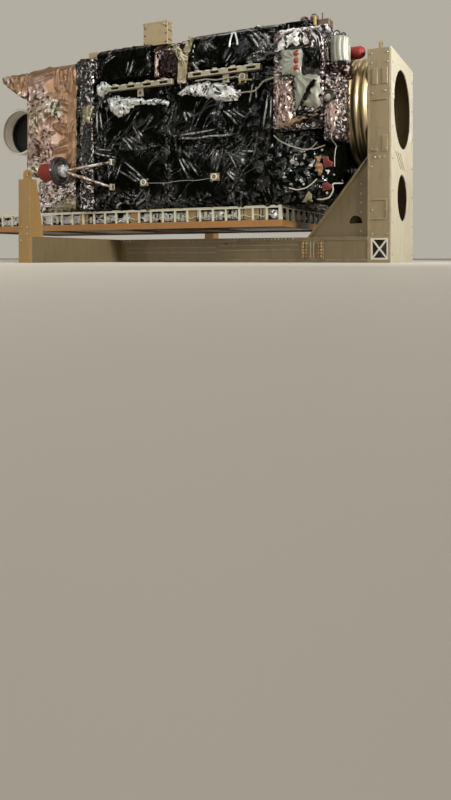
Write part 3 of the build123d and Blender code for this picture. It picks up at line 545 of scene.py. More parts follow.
# %% Mix the tones and make the foils
# Near-black and near-white stops are painted reflections; the last stop of black film paints highlight flecks
# on a few facets.
BLACK_FILM_AND_HIGHLIGHT_STOPS = (
    (0.0, (0.0004, 0.0004, 0.0002)),
    (0.4, (0.0016, 0.0018, 0.0007)),
    (0.86, (0.004, 0.004, 0.0025)),
    (0.92, (0.5, 0.49, 0.44)),
)
COPPER_STOPS = (
    (0.0, (0.1, 0.055, 0.03)),
    (0.4, (0.31, 0.18, 0.1)),
    (0.8, (0.4, 0.25, 0.16)),
    (1.0, (0.8, 0.64, 0.5)),
)
SILVER_STOPS = (
    (0.0, (0.004, 0.004, 0.003)),
    (0.22, (0.02, 0.02, 0.016)),
    (0.29, (0.6, 0.6, 0.55)),
    (0.7, (1.0, 1.0, 0.97)),
)
PINK_STOPS = (
    (0.0, (0.008, 0.005, 0.004)),
    (0.3, (0.04, 0.022, 0.017)),
    (0.37, (0.4, 0.27, 0.21)),
    (0.62, (0.6, 0.46, 0.4)),
    (0.8, (1.0, 0.93, 0.88)),
)
PALE_STOPS = (
    (0.0, (0.02, 0.018, 0.01)),
    (0.3, (0.12, 0.1, 0.05)),
    (0.38, (0.52, 0.48, 0.32)),
    (0.75, (1.0, 0.97, 0.84)),
)
SPECKLE_STOPS = (
    (0.0, (0.0015, 0.0015, 0.001)),
    (0.62, (0.006, 0.005, 0.004)),
    (0.7, (0.24, 0.18, 0.15)),
    (1.0, (1.0, 0.93, 0.86)),
)
BLOCK_STOPS = (
    (0.0, (0.002, 0.0015, 0.001)),
    (0.5, (0.009, 0.006, 0.005)),
    (0.62, (0.2, 0.13, 0.11)),
    (0.8, (0.5, 0.4, 0.36)),
    (1.0, (1.0, 0.96, 0.92)),
)
OLIVE_STOPS = (
    (0.0, (0.05, 0.042, 0.02)),
    (0.4, (0.26, 0.22, 0.12)),
    (1.0, (0.8, 0.75, 0.55)),
)
SATIN_STOPS = (
    (0.0, (0.06, 0.058, 0.042)),
    (0.4, (0.36, 0.36, 0.29)),
    (1.0, (0.66, 0.66, 0.6)),
)
DARK_RED_STOPS = (
    (0.0, (0.003, 0.001, 0.001)),
    (0.55, (0.012, 0.004, 0.003)),
    (0.8, (0.1, 0.018, 0.01)),
    (1.0, (0.6, 0.5, 0.46)),
)
# painted highlight: the pale grey painted along the crests of black film
CREST_HIGHLIGHT_GREY = (0.42, 0.42, 0.38)

# name, ramps, metal, roughness, coarse and fine cells a metre, bump, gloss, gloss where calm
black_foil = make_foil(
    "black foil", (BLACK_FILM_AND_HIGHLIGHT_STOPS,), 0.0, 0.1, 4.0, 31.0, 0.6, 0.8, 0.02, crest_highlight=CREST_HIGHLIGHT_GREY
)
copper_foil = make_foil(
    "copper foil", (COPPER_STOPS, PINK_STOPS, PALE_STOPS), 0.75, 0.34, 4.0, 30.0, 0.3, streak=0.3
)
silver_foil = make_foil("silver foil", (SILVER_STOPS,), 0.25, 0.3, 9.0, 42.0, 0.8)
stack_foil = make_foil("stack foil", (SILVER_STOPS,), 0.4, 0.28, 5.0, 15.0, 0.7)
pink_foil = make_foil("pink silver foil", (PINK_STOPS,), 0.6, 0.28, 10.0, 46.0, 0.7)
speckled_foil = make_foil("speckled foil", (SPECKLE_STOPS,), 0.3, 0.2, 12.0, 48.0, 0.8)
block_foil = make_foil("instrument block foil", (BLOCK_STOPS,), 0.4, 0.22, 9.0, 46.0, 0.8)
olive_foil = make_foil("olive foil", (OLIVE_STOPS,), 0.6, 0.36, 9.0, 40.0, 0.6)
satin_foil = make_foil("satin sheet", (SATIN_STOPS,), 0.55, 0.62, 4.0, 24.0, 0.25, streak=0.5)
dark_red_foil = make_foil("dark red foil", (DARK_RED_STOPS,), 0.2, 0.2, 12.0, 36.0, 0.8, 0.6, 0.1)
print("foils", [finish.name for finish in bpy.data.materials if "foil" in finish.name])

# %% [markdown]
# ## Painted and bare metal
#
# One recipe makes every painted or plated part: a tone that drifts, darker runs, a few rusty
# stains, and a worn tone along the edges. On the gold ring it also paints shade, darker towards
# the bottom. The CAD meshes stay as they are, so instead of real bevels a Bevel node feeds the
# normal, and sharp edges catch a thin line of light. Only the colours, the wear and that painted
# shade differ from part to part.

# %% The paint and plating recipe
EDGE_ROUND = 0.006
WEAR_WIDTH = 0.01
SHADE_BELOW_SHARE = 0.3
RUN_SHARE = 0.55
RUN_RANGE = (0.52, 2.6)
RUST_SHARES = (0.8, 0.55, 0.35)
ROUGH_SWING = 0.3


def rusted(tone):
    """The tone of a stain on paint of this tone."""
    return tuple(channel * share for channel, share in zip(tone, RUST_SHARES))


def dimmed(tone, share):
    """The tone with each channel taken down to this share."""
    return tuple(channel * share for channel in tone)


def make_metal(name, tone, worn, metal, rough, drift_tone=0.72, stain=0.5, fade=None):
    """Paint or plating with drift, runs, stains and worn edges, and painted shade below the heights in fade.
    """
    finish, tree, shader = empty_finish(name)
    grime = place_group(tree, dirt)
    edges = place_group(tree, wear, Width=WEAR_WIDTH)
    base = blend_colours(tree, grime.outputs["Broad"], tone, dimmed(tone, drift_tone))
    if fade is not None:
        above = maths(tree, "SUBTRACT", axes_of(tree, "Object")["Z"], fade[0])
        rise = limited(tree, maths(tree, "DIVIDE", above, fade[1] - fade[0]))
        base = blend_colours(tree, rise, dimmed(tone, SHADE_BELOW_SHARE), base)
    runs = limited(tree, rising(tree, grime.outputs["Fine"], *RUN_RANGE))
    streaked = blend_colours(tree, runs, base, dimmed(tone, RUN_SHARE))
    stain_share = maths(tree, "MULTIPLY", grime.outputs["Stain"], stain)
    stained = blend_colours(tree, stain_share, streaked, rusted(tone))
    tree.links.new(blend_colours(tree, edges.outputs["Mask"], stained, worn), shader.inputs["Base Color"])
    shader.inputs["Metallic"].default_value = metal
    roughness = scaled(tree, grime.outputs["Fine"], ROUGH_SWING, rough - ROUGH_SWING / 2)
    tree.links.new(roughness, shader.inputs["Roughness"])
    rounded = add_node(tree, "ShaderNodeBevel", {"samples": 4}, Radius=EDGE_ROUND)
    relief = add_relief(tree, shader, grime.outputs["Fine"], 0.12, 0.01)
    tree.links.new(rounded.outputs[0], relief.inputs["Normal"])
    return finish


# %% Make the paints and platings
# name, tone, tone where worn, metal, roughness
# Cradle, beam and end plate paints are lighter and darker copies of one paint: painted shade on the beams and
# braces, painted light on the end plate skin.
beam_paint_shaded = make_metal("beam paint in painted shade", (0.19, 0.14, 0.065), (0.4, 0.34, 0.2), 0.05, 0.55)
cradle_paint = make_metal("cradle paint", (0.3, 0.225, 0.12), (0.5, 0.43, 0.28), 0.15, 0.45)
plate_paint_lit = make_metal("end plate paint in painted light", (0.62, 0.56, 0.4), (0.8, 0.78, 0.7), 0.1, 0.45)
post_paint = make_metal("post paint", (0.4, 0.24, 0.08), (0.55, 0.4, 0.2), 0.1, 0.42)
box_brown = make_metal("brown box paint", (0.13, 0.07, 0.04), (0.3, 0.2, 0.14), 0.0, 0.5, stain=0.2)
# painted shade: the ring's gold darkens towards its bottom, between the two heights in fade
ring_gold = make_metal(
    "gold plated ring", (0.6, 0.46, 0.25), (0.8, 0.7, 0.5), 0.9, 0.42, stain=0.2, fade=(1.5, 2.3)
)
array_edge = make_metal("array edge", (0.42, 0.19, 0.05), (0.6, 0.42, 0.22), 0.1, 0.4)
pale_bracket = make_metal("pale bracket", (0.34, 0.3, 0.2), (0.72, 0.68, 0.58), 0.3, 0.38)
white_coat = make_metal("white coat", (0.66, 0.63, 0.52), (0.45, 0.42, 0.36), 0.0, 0.45, drift_tone=0.85)
dark_coat = make_metal("dark coat", (0.007, 0.007, 0.007), (0.1, 0.09, 0.085), 0.0, 0.45)
red_cover = make_metal("red cover", (0.26, 0.013, 0.005), (0.35, 0.06, 0.04), 0.0, 0.62, stain=0.2)
cap_red = make_metal("orange red cap", (0.3, 0.03, 0.01), (0.5, 0.16, 0.08), 0.0, 0.25, stain=0.1)
beige_paint = make_metal("beige box", (0.42, 0.32, 0.17), (0.6, 0.52, 0.36), 0.05, 0.5, stain=0.2)
yellow_film = make_metal("yellow film", (0.5, 0.36, 0.1), (0.8, 0.7, 0.4), 0.2, 0.35, stain=0.3)
board_tan = make_metal("tan board", (0.42, 0.36, 0.2), (0.7, 0.64, 0.45), 0.0, 0.5, stain=0.3)
bolt_steel = make_metal("bolt steel", (0.36, 0.32, 0.24), (0.6, 0.56, 0.48), 0.7, 0.45, stain=0.4)
tag_red = make_metal("red tag", (0.13, 0.008, 0.008), (0.25, 0.04, 0.03), 0.0, 0.5, stain=0.1)
disc_edge = make_metal("disc edge", (0.12, 0.01, 0.03), (0.3, 0.1, 0.14), 0.0, 0.3, stain=0.1)
glass_pale = make_metal("port glass", (0.34, 0.33, 0.24), (0.6, 0.6, 0.5), 0.3, 0.25, stain=0.1)
rail_cream = make_metal("array rail paint", (0.74, 0.69, 0.5), (0.85, 0.82, 0.72), 0.1, 0.42, stain=0.3)
cable_white = make_metal("cable sleeve", (0.62, 0.58, 0.48), (0.4, 0.36, 0.28), 0.0, 0.5)
print("materials so far", len(bpy.data.materials))

# %% [markdown]
# ## Finish the CAD parts
#
# Each CAD part names a material slot, such as cradle metal or black foil. One table turns slots
# into finishes. A few parts differ from the others of their slot and are named one by one.
# Among them the outer skin of the end plate, which faces the strongest lamp, takes a lighter
# copy of the cradle paint as painted light, and the beams and braces a darker copy as painted
# shade.

# %% Give each CAD part its finish
FINISH_OF_SLOT = {
    "cradle_metal": cradle_paint,
    "post_paint": post_paint,
    "ring_gold": ring_gold,
    "black_foil": black_foil,
    "copper_foil": copper_foil,
    "silver_foil": silver_foil,
    "array_edge": array_edge,
    "pale_bracket": pale_bracket,
    "white_coat": white_coat,
    "dark_coat": dark_coat,
    "red_cover": red_cover,
    "beige_box": beige_paint,
}
slot_of_node = {row["node"]: row["material_slot"] for row in frame["record"]["subparts"]}
for node_name, node in nodes.items():
    for place in node.material_slots:
        place.material = FINISH_OF_SLOT[slot_of_node[node_name]]


def refinish(node_name, material):
    """Gives one CAD node a finish of its own."""
    for place in nodes[node_name].material_slots:
        place.material = material


# painted light: the end plate skin takes the lighter copy of the cradle paint
refinish("end_plate_outer_skin", plate_paint_lit)
refinish("instrument_red_caps", cap_red)
refinish("roof_red_box", box_brown)
refinish("fitting_brackets", yellow_film)
for node_name in nodes:
    # painted shade: beams and braces take the darker copy of the cradle paint
    if node_name.startswith(("base_", "end_plate_brace")):
        refinish(node_name, beam_paint_shaded)
    if node_name.startswith("array_rail"):
        refinish(node_name, rail_cream)
print("slots", len(FINISH_OF_SLOT), "parts", len(nodes))

# %% [markdown]
# ## Two finishes that change across a part
#
# The wide cup at the forward end is pale near its mouth and black further in, and the panel
# under the satellite is dark cells seen from below and an orange edge from the side. Two pieces
# with a finish each would have a hard border. So both follow the part's own shape: depth along
# Y for the cup, the way a face looks for the panel.

# %% Finish the cup
CUP_PALE_DEPTH = 0.17
CUP_PALE = (1.0, 0.94, 0.82)
CUP_PALE_DEEP = (0.82, 0.74, 0.6)
CUP_BLACK = (0.008, 0.008, 0.007)


def make_cup_finish():
    """Pale paint near the mouth and black deeper in, with a soft uneven border."""
    finish, tree, shader = empty_finish("cup inside")
    grime = place_group(tree, dirt, Size=5.0)
    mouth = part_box("baffle_cup")[0][1] + CUP_PALE_DEPTH
    depth = maths(tree, "SUBTRACT", axes_of(tree, "Object")["Y"], mouth)
    uneven = maths(tree, "ADD", depth, maths(tree, "MULTIPLY", grime.outputs["Broad"], 0.03))
    inner = limited(tree, maths(tree, "MULTIPLY", uneven, 40.0))
    pale = blend_colours(tree, grime.outputs["Fine"], CUP_PALE, CUP_PALE_DEEP)
    tree.links.new(blend_colours(tree, inner, pale, CUP_BLACK), shader.inputs["Base Color"])
    tree.links.new(scaled(tree, grime.outputs["Fine"], 0.4, 0.3), shader.inputs["Roughness"])
    add_relief(tree, shader, grime.outputs["Broad"], 0.3, 0.01)
    return finish


refinish("baffle_cup", make_cup_finish())
print("cup pale to", CUP_PALE_DEPTH, "m")

# %% Finish the panel
CELL_PITCH = 0.16
CELL_LINE = 0.004
CELL_BLACK = (0.004, 0.004, 0.007, 1)
CELL_BLUE_BLACK = (0.009, 0.009, 0.014, 1)
CELL_LINE_TONE = (0.3, 0.26, 0.16, 1)


def make_cell_finish():
    """Solar cells with thin pale lines on level faces, and the orange edge paint elsewhere."""
    finish = array_edge.copy()
    finish.name = "cell panel"
    tree = finish.node_tree
    shader = tree.nodes["Principled BSDF"]
    edge_tone = shader.inputs["Base Color"].links[0].from_socket
    spot = tree.nodes.new("ShaderNodeTexCoord")
    lines = add_node(
        tree,
        "ShaderNodeTexBrick",
        {"offset": 0.0},
        Color1=CELL_BLACK,
        Color2=CELL_BLUE_BLACK,
        Mortar=CELL_LINE_TONE,
        Scale=1.0,
        Mortar_Size=CELL_LINE,
        Brick_Width=CELL_PITCH,
        Row_Height=CELL_PITCH / 2,
    )
    tree.links.new(spot.outputs["Object"], lines.inputs["Vector"])
    upward = maths(tree, "ABSOLUTE", axes_of(tree, "Normal")["Z"])
    level = limited(tree, maths(tree, "MULTIPLY", upward, 2.0))
    tree.links.new(blend_colours(tree, level, edge_tone, lines.outputs[0]), shader.inputs["Base Color"])
    return finish


refinish("array_panel", make_cell_finish())
print("cells", CELL_PITCH, "m long")

# %% [markdown]
# ## Crumpled blankets from plain boxes
#
# A blanket follows the box under it, but never closely. It could be simulated as cloth, but
# such folds are slow to make and hard to steer. Here the recipe is the same for each: copy the
# CAD box, remesh it to an even net, and push every point along its normal. Three things add up.
# Between its seams the film bulges like a pillow. Where it is pulled, it forms bundles of sharp
# creases. Near edges and seams, and in a few places between, it is crushed into small facets,
# and that share is also stored for the finish.

# %% Noise for folds
TURN_RATES = (1.3, 0.7, 2.1)
# Odd numbers that turn the place of a cell into a seed point that looks random.
CELL_MIX = np.array([127.1, 311.7, 74.7])
SEED_MIX = 17.3
AXIS_MIX = (1.0, 1.7, 2.3)
SCRAMBLE = 43758.5453
FAR_AWAY = 9.0
SINES = 6
SINE_SPREAD = (0.6, 1.5)


def cell_noise(points, size, seed):
    """Manhattan distance to the nearest random seed point, 0 to about 1, for each point."""
    turn = np.array(Euler([seed * rate for rate in TURN_RATES]).to_matrix())
    spots = points @ turn.T / size
    base = np.floor(spots)
    nearest = np.full(len(points), FAR_AWAY)
    for offset in np.ndindex(3, 3, 3):
        cell = base + np.array(offset) - 1
        mixed = cell @ CELL_MIX + seed * SEED_MIX
        jitter = np.stack([np.sin(mixed * rate) * SCRAMBLE for rate in AXIS_MIX], axis=1)
        jitter -= np.floor(jitter)
        nearest = np.minimum(nearest, np.abs(cell + jitter - spots).sum(axis=1))
    return nearest


def soft_noise(points, size, seed):
    """Smooth waves from a few turned sines, -1 to 1."""
    total = np.zeros(len(points))
    rng = np.random.default_rng(seed)
    for _ in range(SINES):
        way = rng.normal(size=3)
        way /= np.linalg.norm(way)
        waves = points @ way * (FULL_TURN / size) * rng.uniform(*SINE_SPREAD)
        total += np.sin(waves + rng.uniform(0, FULL_TURN))
    return total / (SINES / 2)


# %% [markdown]
# ### Creases in bundles
#
# One crease is a low tent along a line, highest in the middle. Noise alone would give soft
# waves, and film that is pulled has sharp lines. The tent is worked out in the plane of the
# face it lies on, so the bulge under it doesn't matter. A bundle is a few of them side by side,
# of differing lengths, that fan out a little, as film does when it is pulled from one corner.

# %% Creases and bundles
CREASE_REACH = 0.15
FACE_MATCH = 0.4
SHORTER = (1.0, 0.65, 0.9, 0.5)
BUNDLE_SLIP = 0.8
BUNDLE_START = 0.55
BUNDLE_END = 1.3
BUNDLE_LENGTHS = (0.12, 0.5)
BUNDLE_COUNTS = (1, 6)
BUNDLE_GAPS = (0.035, 0.07)
BUNDLE_HEIGHTS = (0.6, 1.2)


def raise_crease(places, directions, push, begin, end, face, width, height):
    """Raises one sharp crease from begin to end, highest in the middle and fading to its ends."""
    run = end - begin
    length = np.linalg.norm(run)
    way = run / length
    relative = places - begin
    off_face = relative @ face
    along = relative @ way
    beside = (along > 0) & (along < length) & (np.abs(off_face) < CREASE_REACH)
    near = np.flatnonzero(beside & (directions @ face > FACE_MATCH))
    if not near.size:
        return
    sideways = relative[near] - along[near, None] * way - off_face[near, None] * face
    tent = np.clip(1 - np.linalg.norm(sideways, axis=1) / width, 0, 1)
    share = along[near] / length
    fade = np.minimum(1, 5 * share * (1 - share))
    push[near] = np.maximum(push[near], height * tent * fade)


def raise_bundle(places, directions, push, begin, end, face, count, gap, width, height):
    """A few creases side by side, closer at begin than at end."""
    way = (end - begin) / np.linalg.norm(end - begin)
    side = np.cross(face, way) * gap
    for number in range(count):
        step = number - (count - 1) / 2
        slip = way * gap * BUNDLE_SLIP * (number % 3 - 1)
        first = begin + side * step * BUNDLE_START + slip
        last = end + side * step * BUNDLE_END + slip
        last = first + (last - first) * SHORTER[number % len(SHORTER)]
        lower = height * (1 - 0.1 * (number % 3))
        raise_crease(places, directions, push, first, last, face, width, lower)


def scatter_bundles(places, directions, push, number, rng, width, height):
    """Bundles at random spots of the blanket, running every way."""
    for _ in range(number):
        spot = rng.integers(len(places))
        face = directions[spot] / np.linalg.norm(directions[spot])
        way = np.cross(face, rng.normal(size=3))
        way /= np.linalg.norm(way)
        half = way * rng.uniform(*BUNDLE_LENGTHS) / 2
        count = int(rng.integers(*BUNDLE_COUNTS))
        gap = rng.uniform(*BUNDLE_GAPS)
        tall = height * rng.uniform(*BUNDLE_HEIGHTS)
        begin = places[spot] - half
        raise_bundle(places, directions, push, begin, places[spot] + half, face, count, gap, width, tall)


# %% [markdown]
# ### An even net over each box
#
# A CAD face is one flat polygon or a few, so there is little to push. Subdividing it would give
# long thin faces on long boxes. A voxel remesh gives even quads on every side.

# %% Remesh a box and read its net


def remeshed(name, source, voxel):
    """A new object with an even net of quads over the CAD node's shape."""
    piece = bpy.data.objects.new(name, source.data.copy())
    scene.collection.objects.link(piece)
    even = piece.modifiers.new("even net", "REMESH")
    even.mode = "VOXEL"
    even.voxel_size = voxel
    bpy.context.view_layer.objects.active = piece
    bpy.ops.object.select_all(action="DESELECT")
    piece.select_set(True)
    bpy.ops.object.modifier_apply(modifier=even.name)
    return piece


def points_and_normals(mesh):
    """Vertex places and normals as arrays."""
    places = np.empty(len(mesh.vertices) * 3)
    mesh.vertices.foreach_get("co", places)
    directions = np.empty(len(mesh.vertices) * 3)
    mesh.vertex_normals.foreach_get("vector", directions)
    return places.reshape(-1, 3), directions.reshape(-1, 3)


def move_points(mesh, places):
    """Puts the vertices at new places and shades the faces smooth."""
    mesh.vertices.foreach_set("co", places.ravel())
    mesh.polygons.foreach_set("use_smooth", np.ones(len(mesh.polygons), dtype=bool))


print("faces of the body before the remesh", len(nodes["bus_body"].data.polygons))

# %% [markdown]
# ### Where the film is held and where it is crushed
#
# Every point needs to know how far it is from the nearest edge of its box. On a face of a box
# one of the three gaps to the box's planes is zero, so the second smallest gap is the distance
# to the edge. Seams count as edges too, and so does each pin, where a fitting holds the blanket
# down. Painted shares would be lost with each new net, and these follow the boxes. Only the
# zones and tints that the photograph shows are given by place.

# %% Shares of each point
PILLOW_REACH = 0.14
PIN_REACH = 0.12
CRUSH_REACH = 0.07
PATCH_SIZE = 0.8
PATCH_CONTRAST = 2.5
# How far a border wanders, and the size of its waves.
ZONE_WANDER = (0.07, 0.35)
ZONE_BORDER = 0.1
TINT_WANDER = (0.3, 0.3)
TINT_REACH = 1.1
TINT_CONTRAST = 3


def edge_distance(places, seams):
    """How far each point lies from the nearest edge of its box or seam (axis, value)."""
    low = places.min(axis=0)
    high = places.max(axis=0)
    nearest = np.sort(np.minimum(places - low, high - places), axis=1)[:, 1]
    for axis, value in seams:
        nearest = np.minimum(nearest, np.abs(places[:, axis] - value))
    return nearest


def store_share(mesh, name, share):
    """Writes one value a point for the finish to read."""
    layer = mesh.attributes.new(name, "FLOAT", "POINT")
    layer.data.foreach_set("value", np.clip(share, 0, 1).astype(np.float32))


def zone_share(places, zones, seed):
    """The largest share of any zone at each point: x0, z0, x1, z1 and amount, with soft borders."""
    wander = ZONE_WANDER[0] * soft_noise(places, ZONE_WANDER[1], seed)
    share = np.zeros(len(places))
    for x0, z0, x1, z1, amount in zones:
        gap_x = np.abs(places[:, 0] - (x0 + x1) / 2) - (x1 - x0) / 2
        gap_z = np.abs(places[:, 2] - (z0 + z1) / 2) - (z1 - z0) / 2
        gap = np.maximum(gap_x, gap_z) + wander
        share = np.maximum(share, amount * np.clip(0.5 - gap / ZONE_BORDER, 0, 1))
    return share


def spot_tint(places, spots, seed):
    """Tint of each point. Each spot: x, z, half width, half height, tint, later ones on top."""
    wander = TINT_WANDER[0] * soft_noise(places, TINT_WANDER[1], seed)
    tint = np.zeros(len(places))
    for x, z, half_x, half_z, value in spots:
        far = np.hypot((places[:, 0] - x) / half_x, (places[:, 2] - z) / half_z)
        inside = np.clip((TINT_REACH - far + wander) * TINT_CONTRAST, 0, 1)
        tint += (value - tint) * inside
    return tint


def pillow_share(places, edge, pins):
    """How far the film is free to bulge: 0 at edges, seams and pins, 1 well away from them."""
    share = 1 - np.exp(-edge / PILLOW_REACH)
    for pin in pins:
        away = np.linalg.norm(places - np.array(pin), axis=1)
        share *= 1 - np.exp(-away / PIN_REACH)
    return share


def crushed_share(places, edge, film, zones, seed):
    """How far the film is crushed: along its edges, in loose patches and in the zones."""
    patches = (soft_noise(places, PATCH_SIZE, seed) - film["calm"]) * PATCH_CONTRAST
    share = np.maximum(np.exp(-edge / CRUSH_REACH) * film["edge"], patches)
    return np.clip(np.maximum(share, zone_share(places, zones, seed)), 0, 1)


# %% [markdown]
# ### Crumple it
#
# Pillows, creases and facets could be three modifiers with textures. As arrays the heights are
# simply added up, each with its own share. The creases are laid out in a space that soft noise
# bends a little, so none of them is quite straight.

# %% Crumple a blanket
NEAR_FACE = np.array((0.0, -1.0, 0.0))
BOW_SIZE = 0.5
BOW_AMOUNT = 0.016
SET_FOLD_SHARE = 1.5
BROAD_SIZE = 0.5
BROAD_SHARE = 0.2
BROAD_MEAN = 0.9
FINER = 0.4
FINE_SHARE = 0.45
FACET_MEAN = 1.2


def crease_heights(places, directions, film, creases, seed):
    """Height of the creases at each point: those set by hand, then the scattered ones."""
    lift = np.zeros(len(places))
    bow = np.column_stack([soft_noise(places, BOW_SIZE, seed + shift) for shift in (7, 8, 9)])
    bowed = places + BOW_AMOUNT * bow
    width = film["width"]
    front = places[:, 1].min()
    for x0, z0, x1, z1, count, gap in creases:
        begin = np.array((x0, front, z0))
        end = np.array((x1, front, z1))
        tall = film["fold"] * SET_FOLD_SHARE
        raise_bundle(bowed, directions, lift, begin, end, NEAR_FACE, count, gap, width, tall)
    rng = np.random.default_rng(seed)
    scatter_bundles(bowed, directions, lift, film["bundles"], rng, width, film["fold"])
    return lift


def crumple(piece, film, seams, pins, creases, zones, spots, seed):
    """Pushes each point along its normal by pillows, creases and small facets."""
    mesh = piece.data
    places, directions = points_and_normals(mesh)
    edge = edge_distance(places, seams)
    crushed = crushed_share(places, edge, film, zones, seed)
    lift = crease_heights(places, directions, film, creases, seed)
    push = film["billow"] * pillow_share(places, edge, pins) + lift
    push += BROAD_SHARE * film["facet"] * (cell_noise(places, BROAD_SIZE, seed) - BROAD_MEAN)
    size = film["size"]
    small = FINE_SHARE * cell_noise(places, size * FINER, seed + 1)
    facets = cell_noise(places, size, seed) + small - FACET_MEAN
    push += film["facet"] * crushed * facets
    store_share(mesh, "tint", spot_tint(places, spots, seed))
    move_points(mesh, places + directions * push[:, None])
    store_share(mesh, "crumpled", crushed)
    store_share(mesh, "ridge", lift / film["fold"])
    mesh.update()


# %% Keep a piece light and give it its finish
MOST_TRIANGLES = 180000


def thinned(piece):
    """Collapses the flattest triangles of a piece until it is under the limit."""
    triangles = sum(len(polygon.vertices) - 2 for polygon in piece.data.polygons)
    if triangles <= MOST_TRIANGLES:
        return
    thinner = piece.modifiers.new("thin", "DECIMATE")
    thinner.ratio = MOST_TRIANGLES / triangles
    ready = piece.evaluated_get(bpy.context.evaluated_depsgraph_get())
    lighter = bpy.data.meshes.new_from_object(ready)
    piece.modifiers.clear()
    piece.data = lighter


def finish_piece(piece, material, body="root"):
    """Gives a made piece its one finish and the body it rides on."""
    piece.data.materials.clear()
    piece.data.materials.append(material)
    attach(piece, body)
    return piece


# %% [markdown]
# ## The blankets
#
# Each box under foil gets one blanket, and one table says how fine its net is and how its film
# behaves, so they are easy to compare. The creases that the photograph shows on the body, the
# modules, the hood and the columns are listed, as a start, an end, a count and a gap, and
# the rest is scattered.

# %% Seams, pins, zones and creases of the body
BODY_SEAMS = ((0, 0.33), (0, 1.3), (2, 1.6))
BODY_PINS = (
    (-0.044, -1.05, 1.112),
    (1.058, -1.05, 1.134),
    (1.47, -1.05, 2.412),
    (-0.58, -1.05, 1.07),
    (-0.58, -1.05, 1.425),
)
# x0, z0, x1, z1, share
BODY_ZONES = (
    (-1.24, 0.74, 0.1, 1.0, 0.85),
    (-1.24, 1.0, -0.75, 2.5, 0.55),
    (0.05, 0.74, 2.4, 0.92, 0.75),
    (1.6, 0.86, 2.45, 1.32, 0.5),
    (0.3, 1.52, 1.5, 1.7, 0.6),
    (1.55, 1.35, 2.45, 1.62, 0.35),
    (1.75, 1.7, 1.95, 2.5, 0.5),
    (-0.8, 2.42, 1.9, 2.56, 0.45),
)
# start x and z, end x and z, count, gap
BODY_CREASES = (
    (0.55, 1.47, 0.82, 1.12, 4, 0.06),
    (1.22, 2.0, 1.52, 1.8, 3, 0.06),
    (1.28, 1.46, 1.48, 1.22, 3, 0.05),
    (-0.37, 1.78, -0.14, 1.6, 3, 0.06),
    (-0.16, 1.84, -0.03, 1.65, 2, 0.07),
    (0.46, 1.69, 1.52, 1.75, 2, 0.08),
    (1.37, 1.44, 1.6, 1.37, 3, 0.06),
    (1.25, 1.2, 1.43, 1.07, 2, 0.05),
    (1.85, 2.1, 1.86, 1.62, 3, 0.07),
    (1.63, 2.3, 1.62, 1.95, 2, 0.08),
    (-0.79, 2.2, -0.78, 1.62, 2, 0.08),
    (0.0, 1.1, -0.5, 1.42, 3, 0.07),
    (-0.9, 1.62, -0.35, 1.5, 2, 0.09),
    (1.06, 1.2, 1.1, 1.55, 3, 0.06),
    (0.62, 2.02, 0.72, 1.84, 2, 0.06),
)
print("hand-set creases on the body", sum(row[4] for row in BODY_CREASES))

# %% Creases of the modules, the hood and the columns
AFT_MODULE_CREASES = (
    (0.92, 2.96, 1.05, 2.78, 3, 0.05),
    (1.6, 3.0, 1.86, 2.76, 4, 0.06),
    (1.74, 2.88, 1.9, 2.66, 4, 0.05),
    (1.5, 2.62, 1.85, 2.7, 3, 0.05),
    (0.75, 2.7, 0.9, 2.62, 3, 0.05),
)
FORWARD_MODULE_CREASES = ((-0.7, 2.9, -0.52, 3.02, 3, 0.05), (-0.3, 2.65, -0.25, 2.95, 2, 0.07))
HOOD_CREASES = (
    (-2.2, 2.76, -1.62, 2.86, 2, 0.08),
    (-2.18, 2.38, -1.78, 2.72, 3, 0.1),
    (-2.1, 2.28, -1.72, 2.5, 2, 0.09),
    (-1.84, 2.16, -1.48, 2.48, 2, 0.12),
    (-1.62, 2.4, -1.34, 2.24, 2, 0.09),
    (-1.93, 2.14, -1.9, 1.68, 2, 0.1),
    (-2.2, 1.76, -1.62, 1.8, 6, 0.085),
    (-2.15, 1.5, -1.75, 1.56, 2, 0.08),
    (-1.55, 2.88, -1.5, 2.52, 3, 0.09),
    (-1.34, 2.9, -1.32, 2.42, 2, 0.1),
    (-1.62, 2.06, -1.36, 1.92, 2, 0.1),
    (-1.6, 1.72, -1.3, 1.78, 2, 0.12),
    (-1.48, 1.32, -1.3, 1.6, 3, 0.09),
    (-1.4, 1.85, -1.36, 2.2, 2, 0.08),
)
COLUMN_CREASES = ((-1.1, 0.8, -1.1, 2.9, 3, 0.07), (-0.98, 0.8, -0.96, 2.9, 2, 0.07))
print("hand-set creases on the hood", sum(row[4] for row in HOOD_CREASES))

# %% Which blanket has what
SEAMS_OF = {"bus_body": BODY_SEAMS}
PINS_OF = {"bus_body": BODY_PINS}
CREASES_OF = {
    "bus_body": BODY_CREASES,
    "upper_module_aft": AFT_MODULE_CREASES,
    "upper_module_forward": FORWARD_MODULE_CREASES,
    "copper_hood": HOOD_CREASES,
    "forward_columns": COLUMN_CREASES,
}
ZONES_OF = {
    "bus_body": BODY_ZONES,
    "copper_hood": (
        (-2.25, 2.3, -1.8, 2.72, 0.5),
        (-1.85, 2.1, -1.5, 2.55, 0.7),
        (-2.25, 1.33, -1.7, 1.72, 0.6),
        (-2.25, 1.72, -1.75, 2.3, 0.42),
    ),
    "copper_visor": ((-2.77, 2.56, -2.25, 2.95, 0.7),),
}
# x, z, half width, half height, tint
TINTS_OF = {
    "copper_hood": (
        (-2.08, 2.15, 0.42, 1.2, 0.5),
        (-1.95, 2.88, 0.6, 0.07, 0.0),
        (-2.07, 2.18, 0.18, 0.24, 0.85),
        (-1.7, 2.32, 0.2, 0.15, 1.0),
        (-2.1, 1.45, 0.16, 0.1, 1.0),
        (-1.93, 1.9, 0.05, 0.3, 0.2),
    ),
    "copper_visor": ((-2.7, 2.86, 0.16, 0.1, 0.5), (-2.4, 2.6, 0.14, 0.05, 0.9)),
}

